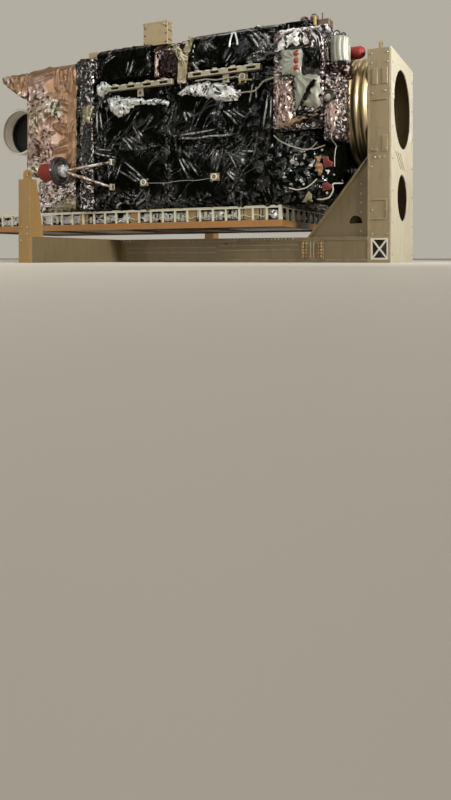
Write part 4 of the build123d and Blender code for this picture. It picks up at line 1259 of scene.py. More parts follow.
DETAILS = (SEAMS_OF, PINS_OF, CREASES_OF, ZONES_OF, TINTS_OF)
print("blankets with hand-set creases", len(CREASES_OF), "with tints", len(TINTS_OF))

# %% Dress each box in its blanket
FILM_LABELS = ("billow", "fold", "width", "bundles", "facet", "size", "calm", "edge")
# node, finish, size of the net, then the eight values that the labels name
BLANKETS = (
    ("bus_body", black_foil, 0.0155, 0.022, 0.02, 0.026, 44, 0.03, 0.11, 0.92, 0.8),
    ("aft_bay", black_foil, 0.017, 0.012, 0.018, 0.026, 36, 0.024, 0.075, 0.75, 0.8),
    ("upper_box_forward", speckled_foil, 0.02, 0.01, 0.012, 0.028, 10, 0.024, 0.1, 0.2, 1),
    ("upper_module_forward", black_foil, 0.018, 0.02, 0.015, 0.026, 10, 0.02, 0.1, 0.95, 0.5),
    ("upper_module_middle", dark_red_foil, 0.02, 0.01, 0.01, 0.028, 8, 0.03, 0.09, -1, 1),
    ("upper_module_aft", black_foil, 0.018, 0.026, 0.02, 0.028, 22, 0.024, 0.11, 0.9, 0.5),
    ("upper_box_aft", black_foil, 0.018, 0.008, 0.01, 0.024, 12, 0.02, 0.08, 0.1, 1),
    ("upper_bay_aft", black_foil, 0.03, 0.012, 0.014, 0.04, 12, 0.02, 0.12, 0.3, 0.6),
    ("aft_deck", silver_foil, 0.016, 0.004, 0.008, 0.022, 14, 0.022, 0.1, -1, 1),
    ("instrument_block", block_foil, 0.014, 0.01, 0.014, 0.02, 26, 0.022, 0.08, -0.6, 1),
    ("aft_side_box", block_foil, 0.012, 0.006, 0.012, 0.018, 10, 0.02, 0.08, -0.7, 1),
    ("aft_shelf", dark_red_foil, 0.012, 0.004, 0.008, 0.018, 8, 0.022, 0.07, -1, 1),
    ("copper_hood", copper_foil, 0.018, 0.022, 0.024, 0.036, 24, 0.028, 0.14, 0.75, 0.5),
    ("copper_visor", copper_foil, 0.018, 0.01, 0.018, 0.03, 16, 0.026, 0.12, 0.2, 0.8),
    ("lower_foil_skirt", pink_foil, 0.016, 0.01, 0.016, 0.024, 20, 0.036, 0.1, -1, 1),
    ("array_stack", stack_foil, 0.03, 0.0, 0.008, 0.04, 30, 0.02, 0.1, -1, 1),
    ("forward_columns", speckled_foil, 0.012, 0.0, 0.008, 0.018, 10, 0.026, 0.08, 0.0, 1),
    ("module_brackets", olive_foil, 0.009, 0.0, 0.004, 0.016, 10, 0.012, 0.05, -1, 1),
)


def dress_boxes():
    """Makes every blanket in the table. Returns them by node."""
    made = {}
    for number, row in enumerate(BLANKETS):
        node_name, material, voxel = row[:3]
        film = dict(zip(FILM_LABELS, row[3:]))
        details = [by_node.get(node_name, ()) for by_node in DETAILS]
        blanket = remeshed(f"{node_name}_blanket", nodes[node_name], voxel)
        crumple(blanket, film, *details, number + 3)
        thinned(blanket)
        finish_piece(blanket, material)
        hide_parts(node_name)
        made[node_name] = blanket
        print(blanket.name, len(blanket.data.polygons))
    return made


blankets = dress_boxes()

# %% [markdown]
# ## Loose sheets over the blankets
#
# Pieces of silver, pink, olive, copper, black and red film lie over the blankets. Patches of
# another finish on the same mesh would be quicker, but they would have no rim and no shadow.
# So each is a net cut to an outline drawn on the face, with its depth given by a fold pattern:
# crushed, pleated along one way, or fanned out from a point. The net is then made solid, so
# the sheet has two sides and a thin edge.

# %% Fold patterns


def upright(flat):
    """Points on the near face as x, y and z, with y at zero."""
    return np.column_stack((flat[:, 0], np.zeros(len(flat)), flat[:, 1]))


def crushed_folds(size):
    """A pattern of small facets."""

    def pattern(flat, seed):
        spots = upright(flat)
        small = 0.3 * cell_noise(spots, size * FINER, seed + 1)
        return cell_noise(spots, size, seed) * 0.8 + small - 0.2

    return pattern


def pleats(pitch, turn):
    """A pattern of long folds that run turn degrees from upright."""
    across_way = np.array((math.cos(math.radians(turn)), math.sin(math.radians(turn))))

    def pattern(flat, seed):
        spots = upright(flat)
        drift = 0.5 * soft_noise(spots, 0.3, seed) + 0.4 * cell_noise(spots, 0.12, seed)
        phase = (flat @ across_way) / pitch + drift
        return np.abs(phase % 1.0 - 0.5) * 2

    return pattern


def fan(x, z, spokes):
    """A pattern of folds that spread from one point."""

    def pattern(flat, seed):
        angle = np.arctan2(flat[:, 1] - z, flat[:, 0] - x)
        far = np.hypot(flat[:, 0] - x, flat[:, 1] - z)
        around = angle * spokes / 6.283
        waves = np.abs((around + 0.15 * seed) % 1.0 - 0.5) * 2
        return waves * np.minimum(1, far / 0.06) * 0.7 + 0.15

    return pattern


# %% Measure against an outline


def inside_outline(flat, outline):
    """True for each point that lies inside the closed outline."""
    inside = np.zeros(len(flat), dtype=bool)
    for (x0, z0), (x1, z1) in zip(outline, np.roll(outline, -1, axis=0)):
        crosses = (z0 > flat[:, 1]) != (z1 > flat[:, 1])
        rise = (z1 - z0) if z1 != z0 else 1.0
        inside ^= crosses & (flat[:, 0] < (x1 - x0) * (flat[:, 1] - z0) / rise + x0)
    return inside


def outline_distance(flat, outline):
    """How far each point lies from the outline."""
    nearest = np.full(len(flat), FAR_AWAY)
    for begin, end in zip(outline, np.roll(outline, -1, axis=0)):
        run = end - begin
        share = np.clip((flat - begin) @ run / (run @ run), 0, 1)
        nearest = np.minimum(nearest, np.linalg.norm(flat - begin - share[:, None] * run, axis=1))
    return nearest


# %% Cut and fold a sheet
SHEET_STEP = 0.011
SHEET_THICKNESS = 0.003
SHEET_MARGIN = 0.03
TUCK_REACH = 0.05
RAGGEDNESS = 0.014


def piece_from_net(name, net):
    """A new object in the scene, made from a finished net."""
    mesh = bpy.data.meshes.new(name)
    net.to_mesh(mesh)
    net.free()
    piece = bpy.data.objects.new(name, mesh)
    scene.collection.objects.link(piece)
    return piece


def join_grid(net, made, columns, rows):
    """Faces between the kept points of a grid, counted column by column, and no lone points."""
    for column in range(columns - 1):
        for row in range(rows - 1):
            corner = column * rows + row
            ring = (corner, corner + rows, corner + rows + 1, corner + 1)
            if all(index in made for index in ring):
                net.faces.new([made[index] for index in ring])
    loose = [vertex for vertex in net.verts if not vertex.link_faces]
    bmesh.ops.delete(net, geom=loose, context="VERTS")


def foil_sheet(name, outline, face_y, rise, pattern, crushed, seed, material, slot_name):
    """A folded sheet that stands rise off the near face at face_y, tucked in at its edge."""
    outline = np.array(outline)
    low = outline.min(axis=0) - SHEET_MARGIN
    high = outline.max(axis=0) + SHEET_MARGIN
    xs = np.arange(low[0], high[0], SHEET_STEP)
    zs = np.arange(low[1], high[1], SHEET_STEP)
    flat = np.stack(np.meshgrid(xs, zs, indexing="ij"), axis=-1).reshape(-1, 2)
    spots = upright(flat)
    wander = np.column_stack((soft_noise(spots, 0.09, seed), soft_noise(spots, 0.11, seed + 5)))
    kept = inside_outline(flat + RAGGEDNESS * wander, outline)
    tuck = np.clip(outline_distance(flat, outline) / TUCK_REACH, 0.12, 1)
    depth = rise * (0.3 + 0.7 * pattern(flat, seed)) * tuck
    net = bmesh.new()
    made = {}
    for index in np.flatnonzero(kept):
        made[index] = net.verts.new((flat[index, 0], face_y - depth[index], flat[index, 1]))
    join_grid(net, made, len(xs), len(zs))
    bmesh.ops.solidify(net, geom=net.faces[:], thickness=SHEET_THICKNESS)
    for face in net.faces:
        face.smooth = True
    piece = piece_from_net(name, net)
    store_share(piece.data, "crumpled", np.full(len(piece.data.vertices), crushed))
    return finish_piece(piece, material)


# %% [markdown]
# ### Where the sheets lie
#
# The outlines are in metres on the near face, as X and Z, read from the photograph. Random ones
# would be quicker, but the eye knows the face by these. They lie on the body, the columns, a
# module, the instrument block, the box behind it, the skirt and the aft bay. The two satin
# sheets on the block are drawn tight, so their crushed share is small. A thin black strip
# across the lower satin sheet is painted shadow, where a fold of that sheet throws its shade.

# %% Outlines of the sheets
OUTLINES = {
    "silver_drape_aft": (
        (0.46, 2.27), (0.64, 2.39), (0.93, 2.42), (1.23, 2.36), (1.45, 2.25),
        (1.42, 2.12), (1.18, 2.11), (0.86, 2.19), (0.63, 2.27),
    ),
    "silver_drape_forward": (
        (-0.67, 2.34), (-0.61, 2.15), (-0.46, 2.04), (-0.29, 2.07), (-0.19, 2.19), (0.07, 2.19),
        (0.36, 2.14), (0.38, 2.2), (0.2, 2.26), (0.0, 2.27), (-0.2, 2.31), (-0.45, 2.36),
    ),
    "silver_scrap": ((-0.84, 2.4), (-0.85, 2.56), (-0.73, 2.6), (-0.58, 2.52), (-0.67, 2.38)),
    "column_patch": ((-1.1, 1.98), (-0.93, 2.02), (-0.91, 2.3), (-1.08, 2.26)),
    "module_strip": ((0.05, 2.58), (0.14, 2.58), (0.13, 2.95), (0.06, 2.97)),
    "block_fan_sheet": ((2.06, 2.66), (2.34, 2.62), (2.34, 2.28), (2.06, 2.33)),
    "block_top_sheet": ((1.98, 2.62), (2.06, 2.82), (2.3, 2.84), (2.3, 2.68)),
    "block_black_film": ((2.36, 2.64), (2.57, 2.6), (2.57, 2.36), (2.36, 2.4)),
    "block_lower_sheet": ((2.24, 2.33), (2.57, 2.28), (2.57, 1.88), (2.24, 1.93)),
    "block_pleats": ((1.97, 2.29), (2.22, 2.25), (2.22, 1.7), (1.99, 1.72)),
    "block_low_film": ((2.25, 1.88), (2.58, 1.85), (2.58, 1.7), (2.25, 1.72)),
    "block_copper_strip": ((2.03, 1.74), (2.54, 1.87), (2.56, 1.78), (2.04, 1.66)),
    "box_fold_sheet": ((2.62, 1.96), (2.8, 1.99), (2.76, 1.62), (2.7, 1.53), (2.64, 1.72)),
    # painted shadow: a thin black strip laid where a fold of the satin sheet throws its shade
    "block_stripe_film": ((2.3, 1.92), (2.35, 1.9), (2.54, 2.2), (2.5, 2.25), (2.42, 2.17)),
    "tag_high": ((2.54, 1.3), (2.62, 1.31), (2.69, 1.24), (2.68, 1.15), (2.58, 1.17), (2.54, 1.2)),
    "tag_low": ((2.54, 0.99), (2.63, 1.0), (2.69, 0.93), (2.66, 0.88), (2.55, 0.9)),
    "tan_taper": ((2.46, 1.32), (2.53, 1.33), (2.56, 1.1), (2.5, 1.05), (2.46, 1.12)),
    "blue_scrap": ((2.6, 1.07), (2.66, 1.09), (2.67, 1.14), (2.61, 1.14)),
    "skirt_tan_sheet": ((-1.78, 0.77), (-1.46, 0.99), (-1.28, 0.96), (-1.25, 0.78)),
    "skirt_strip": ((-1.98, 0.78), (-1.58, 0.99), (-1.5, 0.96), (-1.92, 0.75)),
    "skirt_red_scrap": ((-1.3, 0.82), (-1.27, 0.95), (-1.22, 0.93), (-1.22, 0.8)),
    "foot_triangle_sheet": ((2.27, 0.74), (2.36, 0.76), (2.46, 0.75), (2.36, 0.92)),
}
print("outlines", len(OUTLINES))

# %% Lay the sheets
BODY_FACE = -1.062
TAG_FACE = -1.082
BLOCK_FACE = -1.215
BOX_FACE = -1.19
SLOT_OF_FILM = {"black foil": "black_foil", "copper foil": "copper_foil", "red tag": "red_cover"}
# name, face, rise, fold pattern, crushed share, finish
SHEETS = (
    ("silver_drape_aft", BODY_FACE, 0.085, crushed_folds(0.12), 0.7, silver_foil),
    ("silver_drape_forward", BODY_FACE, 0.08, crushed_folds(0.11), 0.7, silver_foil),
    ("silver_scrap", BODY_FACE, 0.06, crushed_folds(0.09), 0.7, silver_foil),
    ("column_patch", -1.09, 0.05, crushed_folds(0.1), 0.6, olive_foil),
    ("module_strip", -0.965, 0.03, crushed_folds(0.09), 0.5, pink_foil),
    ("block_fan_sheet", BLOCK_FACE, 0.04, fan(2.27, 2.48, 15), 0.15, satin_foil),
    ("block_top_sheet", BLOCK_FACE, 0.04, crushed_folds(0.1), 0.7, silver_foil),
    ("block_black_film", BLOCK_FACE, 0.03, crushed_folds(0.16), 0.3, black_foil),
    ("block_lower_sheet", BLOCK_FACE, 0.05, fan(2.2, 2.36, 17), 0.15, satin_foil),
    ("block_pleats", BLOCK_FACE, 0.06, pleats(0.085, 4), 0.4, pink_foil),
    ("block_low_film", BLOCK_FACE, 0.035, pleats(0.08, 98), 0.5, black_foil),
    ("block_copper_strip", BLOCK_FACE, 0.055, pleats(0.06, 100), 0.3, copper_foil),
    ("box_fold_sheet", BOX_FACE, 0.05, fan(2.71, 1.4, 40), 0.3, pink_foil),
    # painted shadow: black strip for a fold's shade on the satin sheet
    ("block_stripe_film", -1.26, 0.014, pleats(0.06, 50), 0.1, black_foil),
    ("tag_high", TAG_FACE, 0.02, crushed_folds(0.12), 0.5, tag_red),
    ("tag_low", TAG_FACE, 0.02, crushed_folds(0.12), 0.5, tag_red),
    ("tan_taper", TAG_FACE, 0.02, pleats(0.07, 80), 0.2, copper_foil),
    ("blue_scrap", TAG_FACE, 0.03, crushed_folds(0.05), 0.6, silver_foil),
    ("skirt_tan_sheet", -0.985, 0.04, crushed_folds(0.1), 0.5, olive_foil),
    ("skirt_strip", -0.99, 0.04, crushed_folds(0.07), 0.6, silver_foil),
    ("skirt_red_scrap", -0.99, 0.05, crushed_folds(0.06), 0.5, tag_red),
    ("foot_triangle_sheet", TAG_FACE, 0.02, pleats(0.1, 30), 0.2, olive_foil),
)
for number, (name, *folding, film) in enumerate(SHEETS, 40):
    slot_name = SLOT_OF_FILM.get(film.name, "silver_foil")
    sheet = foil_sheet(name, OUTLINES[name], *folding, number, film, slot_name)
    print(sheet.name, len(sheet.data.polygons))

# %% [markdown]
# ## Turned parts
#
# Rings, caps, discs and the drum are turned shapes: one profile swung round an axis. Stacked
# cylinders would do, but a profile holds every step of the shape in one short list of radius
# and depth, and small steps at its corners keep the edges from looking cut with a knife.

# %% Turn a profile
AXES = {
    "X": Euler((0, math.radians(90), 0)),
    "Y": Euler((math.radians(90), 0, 0)),
    "Z": Euler((0, 0, 0)),
}


def join_rings(net, rings):
    """Quads between each ring of points and the next."""
    for lower, upper in zip(rings, rings[1:]):
        for step in range(len(lower)):
            after = (step + 1) % len(lower)
            net.faces.new((lower[step], lower[after], upper[after], upper[step]))


def turned(name, rows, profile, axis, material, body="root", steps=64, wave=None):
    """One closed turned shape at each centre in rows. Depth grows along the axis."""
    net = bmesh.new()
    turn = AXES[axis].to_matrix()
    for centre in rows:
        rings = []
        for radius, depth in profile:
            ring = []
            for step in range(steps):
                angle = 2 * math.pi * step / steps
                reach = radius * (1 + (wave(angle, depth) if wave else 0))
                spot = Vector((reach * math.cos(angle), reach * math.sin(angle), depth))
                ring.append(net.verts.new(turn @ spot + Vector(centre)))
            rings.append(ring)
        join_rings(net, rings)
        if profile[0] != profile[-1]:
            net.faces.new(rings[0][::-1])
            net.faces.new(rings[-1])
        else:
            bmesh.ops.remove_doubles(net, verts=rings[0] + rings[-1], dist=1e-6)
    bmesh.ops.recalc_face_normals(net, faces=net.faces)
    for face in net.faces:
        face.smooth = len(face.verts) == 4
    return finish_piece(piece_from_net(name, net), material, body)


# %% [markdown]
# ### The separation ring
#
# The gold ring is a drum of soft rounded bands. Each band could be a ring of its own, but they
# would meet in hard seams. A cosine along one profile makes them all, and the CAD ring gives
# its place and its radius.

# %% Turn the ring
RING_BANDS = 3
BAND_DEPTH = 0.03
RING_STEPS = 48
RING_BORE = 0.64

ring_low, ring_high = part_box("separation_ring")
ring_radius = (ring_high[2] - ring_low[2]) / 2
ring_length = ring_high[0] - ring_low[0]
ring_profile = []
for step in range(RING_STEPS + 1):
    share = step / RING_STEPS
    dip = BAND_DEPTH * (0.5 - 0.5 * math.cos(2 * math.pi * RING_BANDS * share)) ** 0.7
    ring_profile.append((ring_radius - BAND_DEPTH + dip, share * ring_length))
ring_profile += [(RING_BORE, ring_length), (RING_BORE, 0.0), ring_profile[0]]
ring_centre = (ring_low[0], 0.0, (ring_low[2] + ring_high[2]) / 2)
gold_ring = turned("gold_ring", [ring_centre], ring_profile, "X", ring_gold, steps=160)
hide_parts("separation_ring")
print("ring faces", len(gold_ring.data.polygons))

# %% [markdown]
# ### The red caps
#
# The caps are short cylinders with domed ends. A half ball on a cylinder would leave a line
# where they meet, so the dome is the last part of the same profile. The large cap is a soft
# cover, and a sine of its angle gives it slack.

# %% Turn the red caps


def middle_of(node_name):
    """The centre of a CAD node's box."""
    low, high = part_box(node_name)
    return (Vector(low) + Vector(high)) / 2


def dome(radius, base, height, count=7):
    """A profile that rises from base and closes in over the axis."""
    arc = []
    for step in range(count + 1):
        angle = math.pi / 2 * step / count
        arc.append((max(radius * math.cos(angle), 0.0005), base + height * math.sin(angle)))
    return arc


CAP_PLACES = ((2.265, 2.393), (2.265, 2.48), (2.265, 2.567))
CAP_PROFILE = [(0.042, 0.0), (0.043, 0.022), (0.04, 0.026), *dome(0.038, 0.027, 0.032)]
COLLAR_PROFILE = [(0.049, 0.0), (0.05, 0.022), (0.047, 0.027), (0.041, 0.027)]
cap_rows = [(x, -1.2, z) for x, z in CAP_PLACES]
caps = turned("domed_caps", cap_rows, CAP_PROFILE, "Y", cap_red, steps=32)
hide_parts("instrument_red_caps")
turned("cap_collars", cap_rows, COLLAR_PROFILE, "Y", tag_red, steps=32)

aft_cap_place = (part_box("aft_red_cap")[0][0], -0.56, 2.68)
AFT_CAP_PROFILE = [(0.07, 0.0), (0.072, 0.02), (0.08, 0.03), (0.08, 0.19), (0.076, 0.2)]
AFT_CAP_PROFILE += [(0.07, 0.205), *dome(0.068, 0.206, 0.042)]


def aft_cap_slack(angle, depth):
    """Six soft lobes round the cap that lean with its depth."""
    return 0.02 * abs(math.sin(3 * angle + 9 * depth))


aft_cap = turned(
    "aft_cap", [aft_cap_place], AFT_CAP_PROFILE, "X", red_cover, steps=48, wave=aft_cap_slack
)
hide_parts("aft_red_cap")
print("red caps", len(CAP_PLACES) + 1)

# %% [markdown]
# ### The round fittings
#
# A fitting is a white disc with a raised rim, a dark hollow and a pin in the middle. One
# profile could make all of it, but a piece has one finish, so the three are turned apart.

# %% Turn the fittings
FITTING_PLACES = ((-0.044, 1.112), (1.058, 1.134), (1.47, 2.412))
DISC_PROFILE = [(0.045, 0.0), (0.045, 0.03), (0.042, 0.035), (0.034, 0.036), (0.029, 0.033)]
DISC_PROFILE += [(0.026, 0.02), (0.0005, 0.02)]
HOLLOW_PROFILE = [(0.024, 0.019), (0.024, 0.023), (0.0005, 0.024)]
PIN_PROFILE = [(0.014, 0.018), (0.014, 0.032), *dome(0.012, 0.032, 0.003, 3)]
fitting_rows = [(x, -1.064, z) for x, z in FITTING_PLACES]
fitting_discs = turned(
    "fitting_discs", fitting_rows, DISC_PROFILE, "Y", white_coat, steps=32
)
turned("fitting_hollows", fitting_rows, HOLLOW_PROFILE, "Y", dark_coat, steps=24)
turned("fitting_pins", fitting_rows, PIN_PROFILE, "Y", bolt_steel, steps=16)
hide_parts("face_fittings")
print("fittings", len(FITTING_PLACES))

# %% [markdown]
# ### The port and the drum
#
# The port is a dark ring round a pale glass. The drum stands upright and is wrapped in film. A
# wrap round a drum hangs in soft upright folds and isn't crumpled like a blanket, so the
# profile is waved by the sine of its angle. A black ring lies on top.

# %% Turn the port and the drum
port_middle = middle_of("instrument_port")
port_rows = [(port_middle.x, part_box("instrument_port")[1][1], port_middle.z)]
PORT_PROFILE = [(0.066, 0.0), (0.066, 0.042), (0.062, 0.049), (0.053, 0.05), (0.047, 0.047)]
PORT_PROFILE += [(0.045, 0.036), (0.0005, 0.036)]
port_ring = turned("port_ring", port_rows, PORT_PROFILE, "Y", dark_coat, steps=48)
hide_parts("instrument_port")
turned("port_glass", port_rows, dome(0.044, 0.035, 0.014), "Y", glass_pale, steps=48)

drum_low, drum_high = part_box("aft_drum")
drum_rise = drum_high[2] - drum_low[2]
drum_middle = middle_of("aft_drum")
drum_rows = [(drum_middle.x, drum_middle.y, drum_low[2])]
DRUM_PROFILE = [(0.118, 0.0), (0.122, 0.03), (0.119, 0.09), (0.123, 0.16), (0.12, 0.23)]
DRUM_PROFILE += [(0.122, drum_rise - 0.03), (0.116, drum_rise - 0.01), (0.1, drum_rise)]
DRUM_PROFILE += [(0.0005, drum_rise + 0.004)]


def drum_folds(angle, depth):
    """Twelve soft folds round the drum that sway with its depth."""
    return 0.1 * abs(math.sin(6 * angle + 1.2 * math.sin(9 * depth))) - 0.06


drum = turned(
    "wrapped_drum", drum_rows, DRUM_PROFILE, "Z", satin_foil, steps=96, wave=drum_folds
)
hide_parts("aft_drum")
hoop_profile = []
for step in range(9):
    angle = step * math.pi / 4
    hoop_profile.append((0.06 + 0.012 * math.cos(angle), drum_rise + 0.016 + 0.012 * math.sin(angle)))
turned("drum_top_ring", drum_rows, hoop_profile, "Z", dark_coat, steps=40)
print("drum", drum_rise, "m tall")

# %% [markdown]
# ### The antenna disc
#
# The disc's aft face is sunk inside its rim, with one thin line of colour round the edge. Both
# could be painted on, but a real step throws its own thin shadow as the boom swings.

# %% Turn the disc
disc_low, disc_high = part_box("antenna_disc")
hub_y = middle_of("antenna_disc").y
hub_z = middle_of("antenna_disc").z
disc_rows = [(disc_low[0], hub_y, hub_z)]
disc_radius = (disc_high[2] - disc_low[2]) / 2
disc_depth = disc_high[0] - disc_low[0]
disc_profile = [(0.0005, 0.0), (disc_radius - 0.008, 0.0), (disc_radius, 0.008)]
disc_profile += [(disc_radius, disc_depth - 0.008), (disc_radius - 0.008, disc_depth)]
disc_profile += [(disc_radius - 0.028, disc_depth), (disc_radius - 0.032, disc_depth - 0.015)]
disc_profile += [(0.15, disc_depth - 0.015), (0.145, disc_depth - 0.011), (0.0005, disc_depth - 0.011)]
disc = turned("antenna_disc_body", disc_rows, disc_profile, "X", dark_coat, "boom", 96)
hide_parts("antenna_disc")
edge_profile = [(disc_radius + 0.002, 0.012), (disc_radius + 0.004, 0.014), (disc_radius + 0.004, 0.024)]
edge_profile += [(disc_radius + 0.002, 0.026), (disc_radius - 0.002, 0.026), (disc_radius - 0.002, 0.012)]
edge_profile += [edge_profile[0]]
turned("disc_edge_line", disc_rows, edge_profile, "X", disc_edge, "boom", 96)
print("disc", 2 * disc_radius, "m wide and", disc_depth, "m deep")

# %% [markdown]
# ### The antenna's cover
#
# The cover is a soft cylinder with slack in it. It could be crumpled like a blanket, but it is
# stiffer than film and shows only a few wide folds, so a sine of its angle is enough.

# %% Turn the cover
cover_low, cover_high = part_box("antenna_cover")
cover_length = cover_high[0] - cover_low[0]
COVER_PROFILE = [(0.0005, 0.004), (0.08, 0.002), (0.112, 0.008), (0.121, 0.025), (0.12, 0.09)]
COVER_PROFILE += [(0.117, 0.15), (0.121, 0.2), (0.114, 0.225), (0.12, 0.24), (0.12, cover_length)]


def cover_slack(angle, depth):
    """Eight wide folds round the cover that lean with its depth."""
    return 0.04 * abs(math.sin(4 * angle + 14 * depth)) - 0.02


cover_rows = [(cover_low[0], hub_y, hub_z)]
cover = turned(
    "cover_wrap", cover_rows, COVER_PROFILE, "X", red_cover, "boom", 72, wave=cover_slack
)
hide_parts("antenna_cover")
print("cover", cover_length, "m long")

# %% [markdown]
# ### The wraps of the boom
#
# The two rods are wrapped in foil like everything else. A smooth tube with a foil finish would
# show a straight outline against the dark body, so the radius of each wrap wanders. A short
# wrap of crushed silver foil sits on the hub where the rods meet. All of it rides on the boom.

# %% Wrap the rods and the hub
HINGE_PLACE = (-0.58, -1.1)
EYE_HEIGHTS = (1.07, 1.425)
WRAP_SHARE = 0.6
hub_spot = Vector((-1.22, hub_y, hub_z))


def foil_tube(name, begin, end, radius, material, seed, sides=14, step=0.014):
    """A closed foil wrap on the boom whose radius wanders like crushed film."""
    run = end - begin
    turn = run.to_track_quat("Z", "Y").to_matrix()
    count = max(3, round(run.length / step))
    net = bmesh.new()
    rings = []
    for row in range(count + 1):
        ring = []
        for side in range(sides):
            angle = 2 * math.pi * side / sides
            out = turn @ Vector((math.cos(angle), math.sin(angle), 0)) * radius
            ring.append(net.verts.new(out + begin + run * row / count))
        rings.append(ring)
    join_rings(net, rings)
    net.faces.new(rings[0][::-1])
    net.faces.new(rings[-1])
    piece = piece_from_net(name, net)
    mesh = piece.data
    places, directions = points_and_normals(mesh)
    waves = cell_noise(places, radius * 2.2, seed) - 0.6
    move_points(mesh, places + directions * (radius * 0.28 * waves)[:, None])
    for share_name in ("crumpled", "tint"):
        store_share(mesh, share_name, np.full(len(mesh.vertices), WRAP_SHARE))
    mesh.update()
    return finish_piece(piece, material, "boom")


for number, height in enumerate(EYE_HEIGHTS, 1):
    foot = Vector((*HINGE_PLACE, height))
    way = hub_spot - foot
    begin = foot + way * 0.07
    end = foot + way * 0.96
    foil_tube(f"rod_wrap_{number}", begin, end, 0.02, copper_foil, number)
hub_begin = Vector((disc_high[0] - 0.012, hub_y, hub_z))
hub_end = Vector((disc_high[0] + 0.065, hub_y, hub_z))
hub_wrap = foil_tube(
    "hub_wrap", hub_begin, hub_end, 0.088, silver_foil, 5, sides=40, step=0.012
)
print("faces of the hub wrap", len(hub_wrap.data.polygons))

# %% [markdown]
# ## Pipes, harness and ties
#
# Thin pipes and cables follow a few points with a smooth curve and a round section. Depths
# typed in point by point would miss the film, which bulges differently everywhere. So the ones
# on the near face are dropped onto the blankets by casting a ray from in front.

# %% Draw pipes on the faces
BARE_FACE = -1.05
bpy.context.view_layer.update()


def surface_y(x, z):
    """The Y of the nearest blanket seen from in front at x and z."""
    best = None
    for blanket in blankets.values():
        hit, spot, _, _ = blanket.ray_cast(Vector((x, -3.0, z)), Vector((0, 1, 0)))
        if hit and (best is None or spot.y < best):
            best = spot.y
    return BARE_FACE if best is None else best


def pipe(name, points, radius, material):
    """A round pipe along a smooth curve through points near the given ones."""
    data = bpy.data.curves.new(name, "CURVE")
    data.dimensions = "3D"
    data.bevel_depth = radius
    data.bevel_resolution = 3
    data.resolution_u = 8
    data.use_fill_caps = True
    spline = data.splines.new("NURBS")
    spline.points.add(len(points) - 1)
    for point, place in zip(spline.points, points):
        point.co = (*place, 1)
    spline.order_u = 3
    spline.use_endpoint_u = True
    piece = bpy.data.objects.new(name, data)
    scene.collection.objects.link(piece)
    return finish_piece(piece, material)


def laid(flat, lift):
    """Points on the blankets at each x and z, lifted off by lift."""
    return [(x, surface_y(x, z) - lift, z) for x, z in flat]


def dense(flat, pitch=0.05):
    """The same line with a point about every pitch, so it can follow the film."""
    points = []
    for (x0, z0), (x1, z1) in zip(flat, flat[1:]):
        count = max(1, round(math.hypot(x1 - x0, z1 - z0) / pitch))
        points += [(x0 + (x1 - x0) * k / count, z0 + (z1 - z0) * k / count) for k in range(count)]
    return points + [flat[-1]]


print("film lies at y", surface_y(0.3, 1.3), "in the middle of the body")

# %% Lay the harness
low_loop = ((1.9, 1.62), (1.97, 1.55), (2.12, 1.47), (2.29, 1.415), (2.44, 1.41), (2.55, 1.46))
deep_loop = ((2.64, 1.1), (2.67, 0.98), (2.68, 0.88), (2.63, 0.8), (2.54, 0.78), (2.46, 0.79))
HARNESS = (
    ("harness_low_loop", low_loop, 0.008),
    ("harness_branch", ((2.34, 1.4), (2.41, 1.43), (2.47, 1.5)), 0.006),
    ("harness_short_loop", ((2.47, 1.04), (2.42, 0.99), (2.33, 0.93), (2.22, 0.91), (2.11, 0.94)), 0.008),
    ("harness_box_line", ((2.72, 1.62), (2.69, 1.5), (2.66, 1.42), (2.65, 1.32), (2.65, 1.2)), 0.006),
    ("harness_deep_loop", deep_loop, 0.009),
    ("seam_cable", ((0.03, 1.1), (0.3, 1.09), (0.55, 1.11), (0.8, 1.1), (1.0, 1.12)), 0.003),
)
for name, flat, radius in HARNESS:
    pipe(name, laid(dense(flat), radius * 0.8), radius, cable_white)
strap = ((1.28, 2.82), (1.29, 2.9), (1.32, 3.0), (1.36, 3.0), (1.39, 2.9), (1.4, 2.83))
pipe("module_strap", laid(dense(strap, 0.03), 0.008), 0.013, silver_foil)
print("harness lines", len(HARNESS))

# %% [markdown]
# ### Drum handles, lacing and rail pipes
#
# Two small hoops stand on the drum, a white lacing runs in a zigzag along the folded array, and
# pale pipes follow the slotted rail. A chain of small cylinders would have gaps where it bends,
# so they are the same round curves.

# %% Bend the handles, the lacing and the rail pipes


def hoop(name, centre, radius, thickness):
    """An upright ring that shows its round to the near side."""
    places = []
    for step in range(17):
        angle = 2 * math.pi * step / 16
        places.append((centre[0] + radius * math.cos(angle), centre[1], centre[2] + radius * math.sin(angle)))
    pipe(name, places, thickness, dark_coat)


drum_top = (drum_middle.x, drum_middle.y, drum_high[2])
hoop("drum_handle_near", (drum_top[0] - 0.04, drum_top[1] - 0.03, drum_top[2] + 0.04), 0.042, 0.008)
hoop("drum_handle_far", (drum_top[0] + 0.03, drum_top[1] + 0.02, drum_top[2] + 0.028), 0.032, 0.007)
zigzag = [(-3.24 + step * 0.0885, -0.984, 0.585 + 0.05 * (step % 2)) for step in range(60)]
pipe("array_lacing", zigzag, 0.006, white_coat)

low_pipe = ((1.38, 2.19), (1.52, 2.2), (1.64, 2.19), (1.72, 2.24), (1.78, 2.32), (1.93, 2.34))
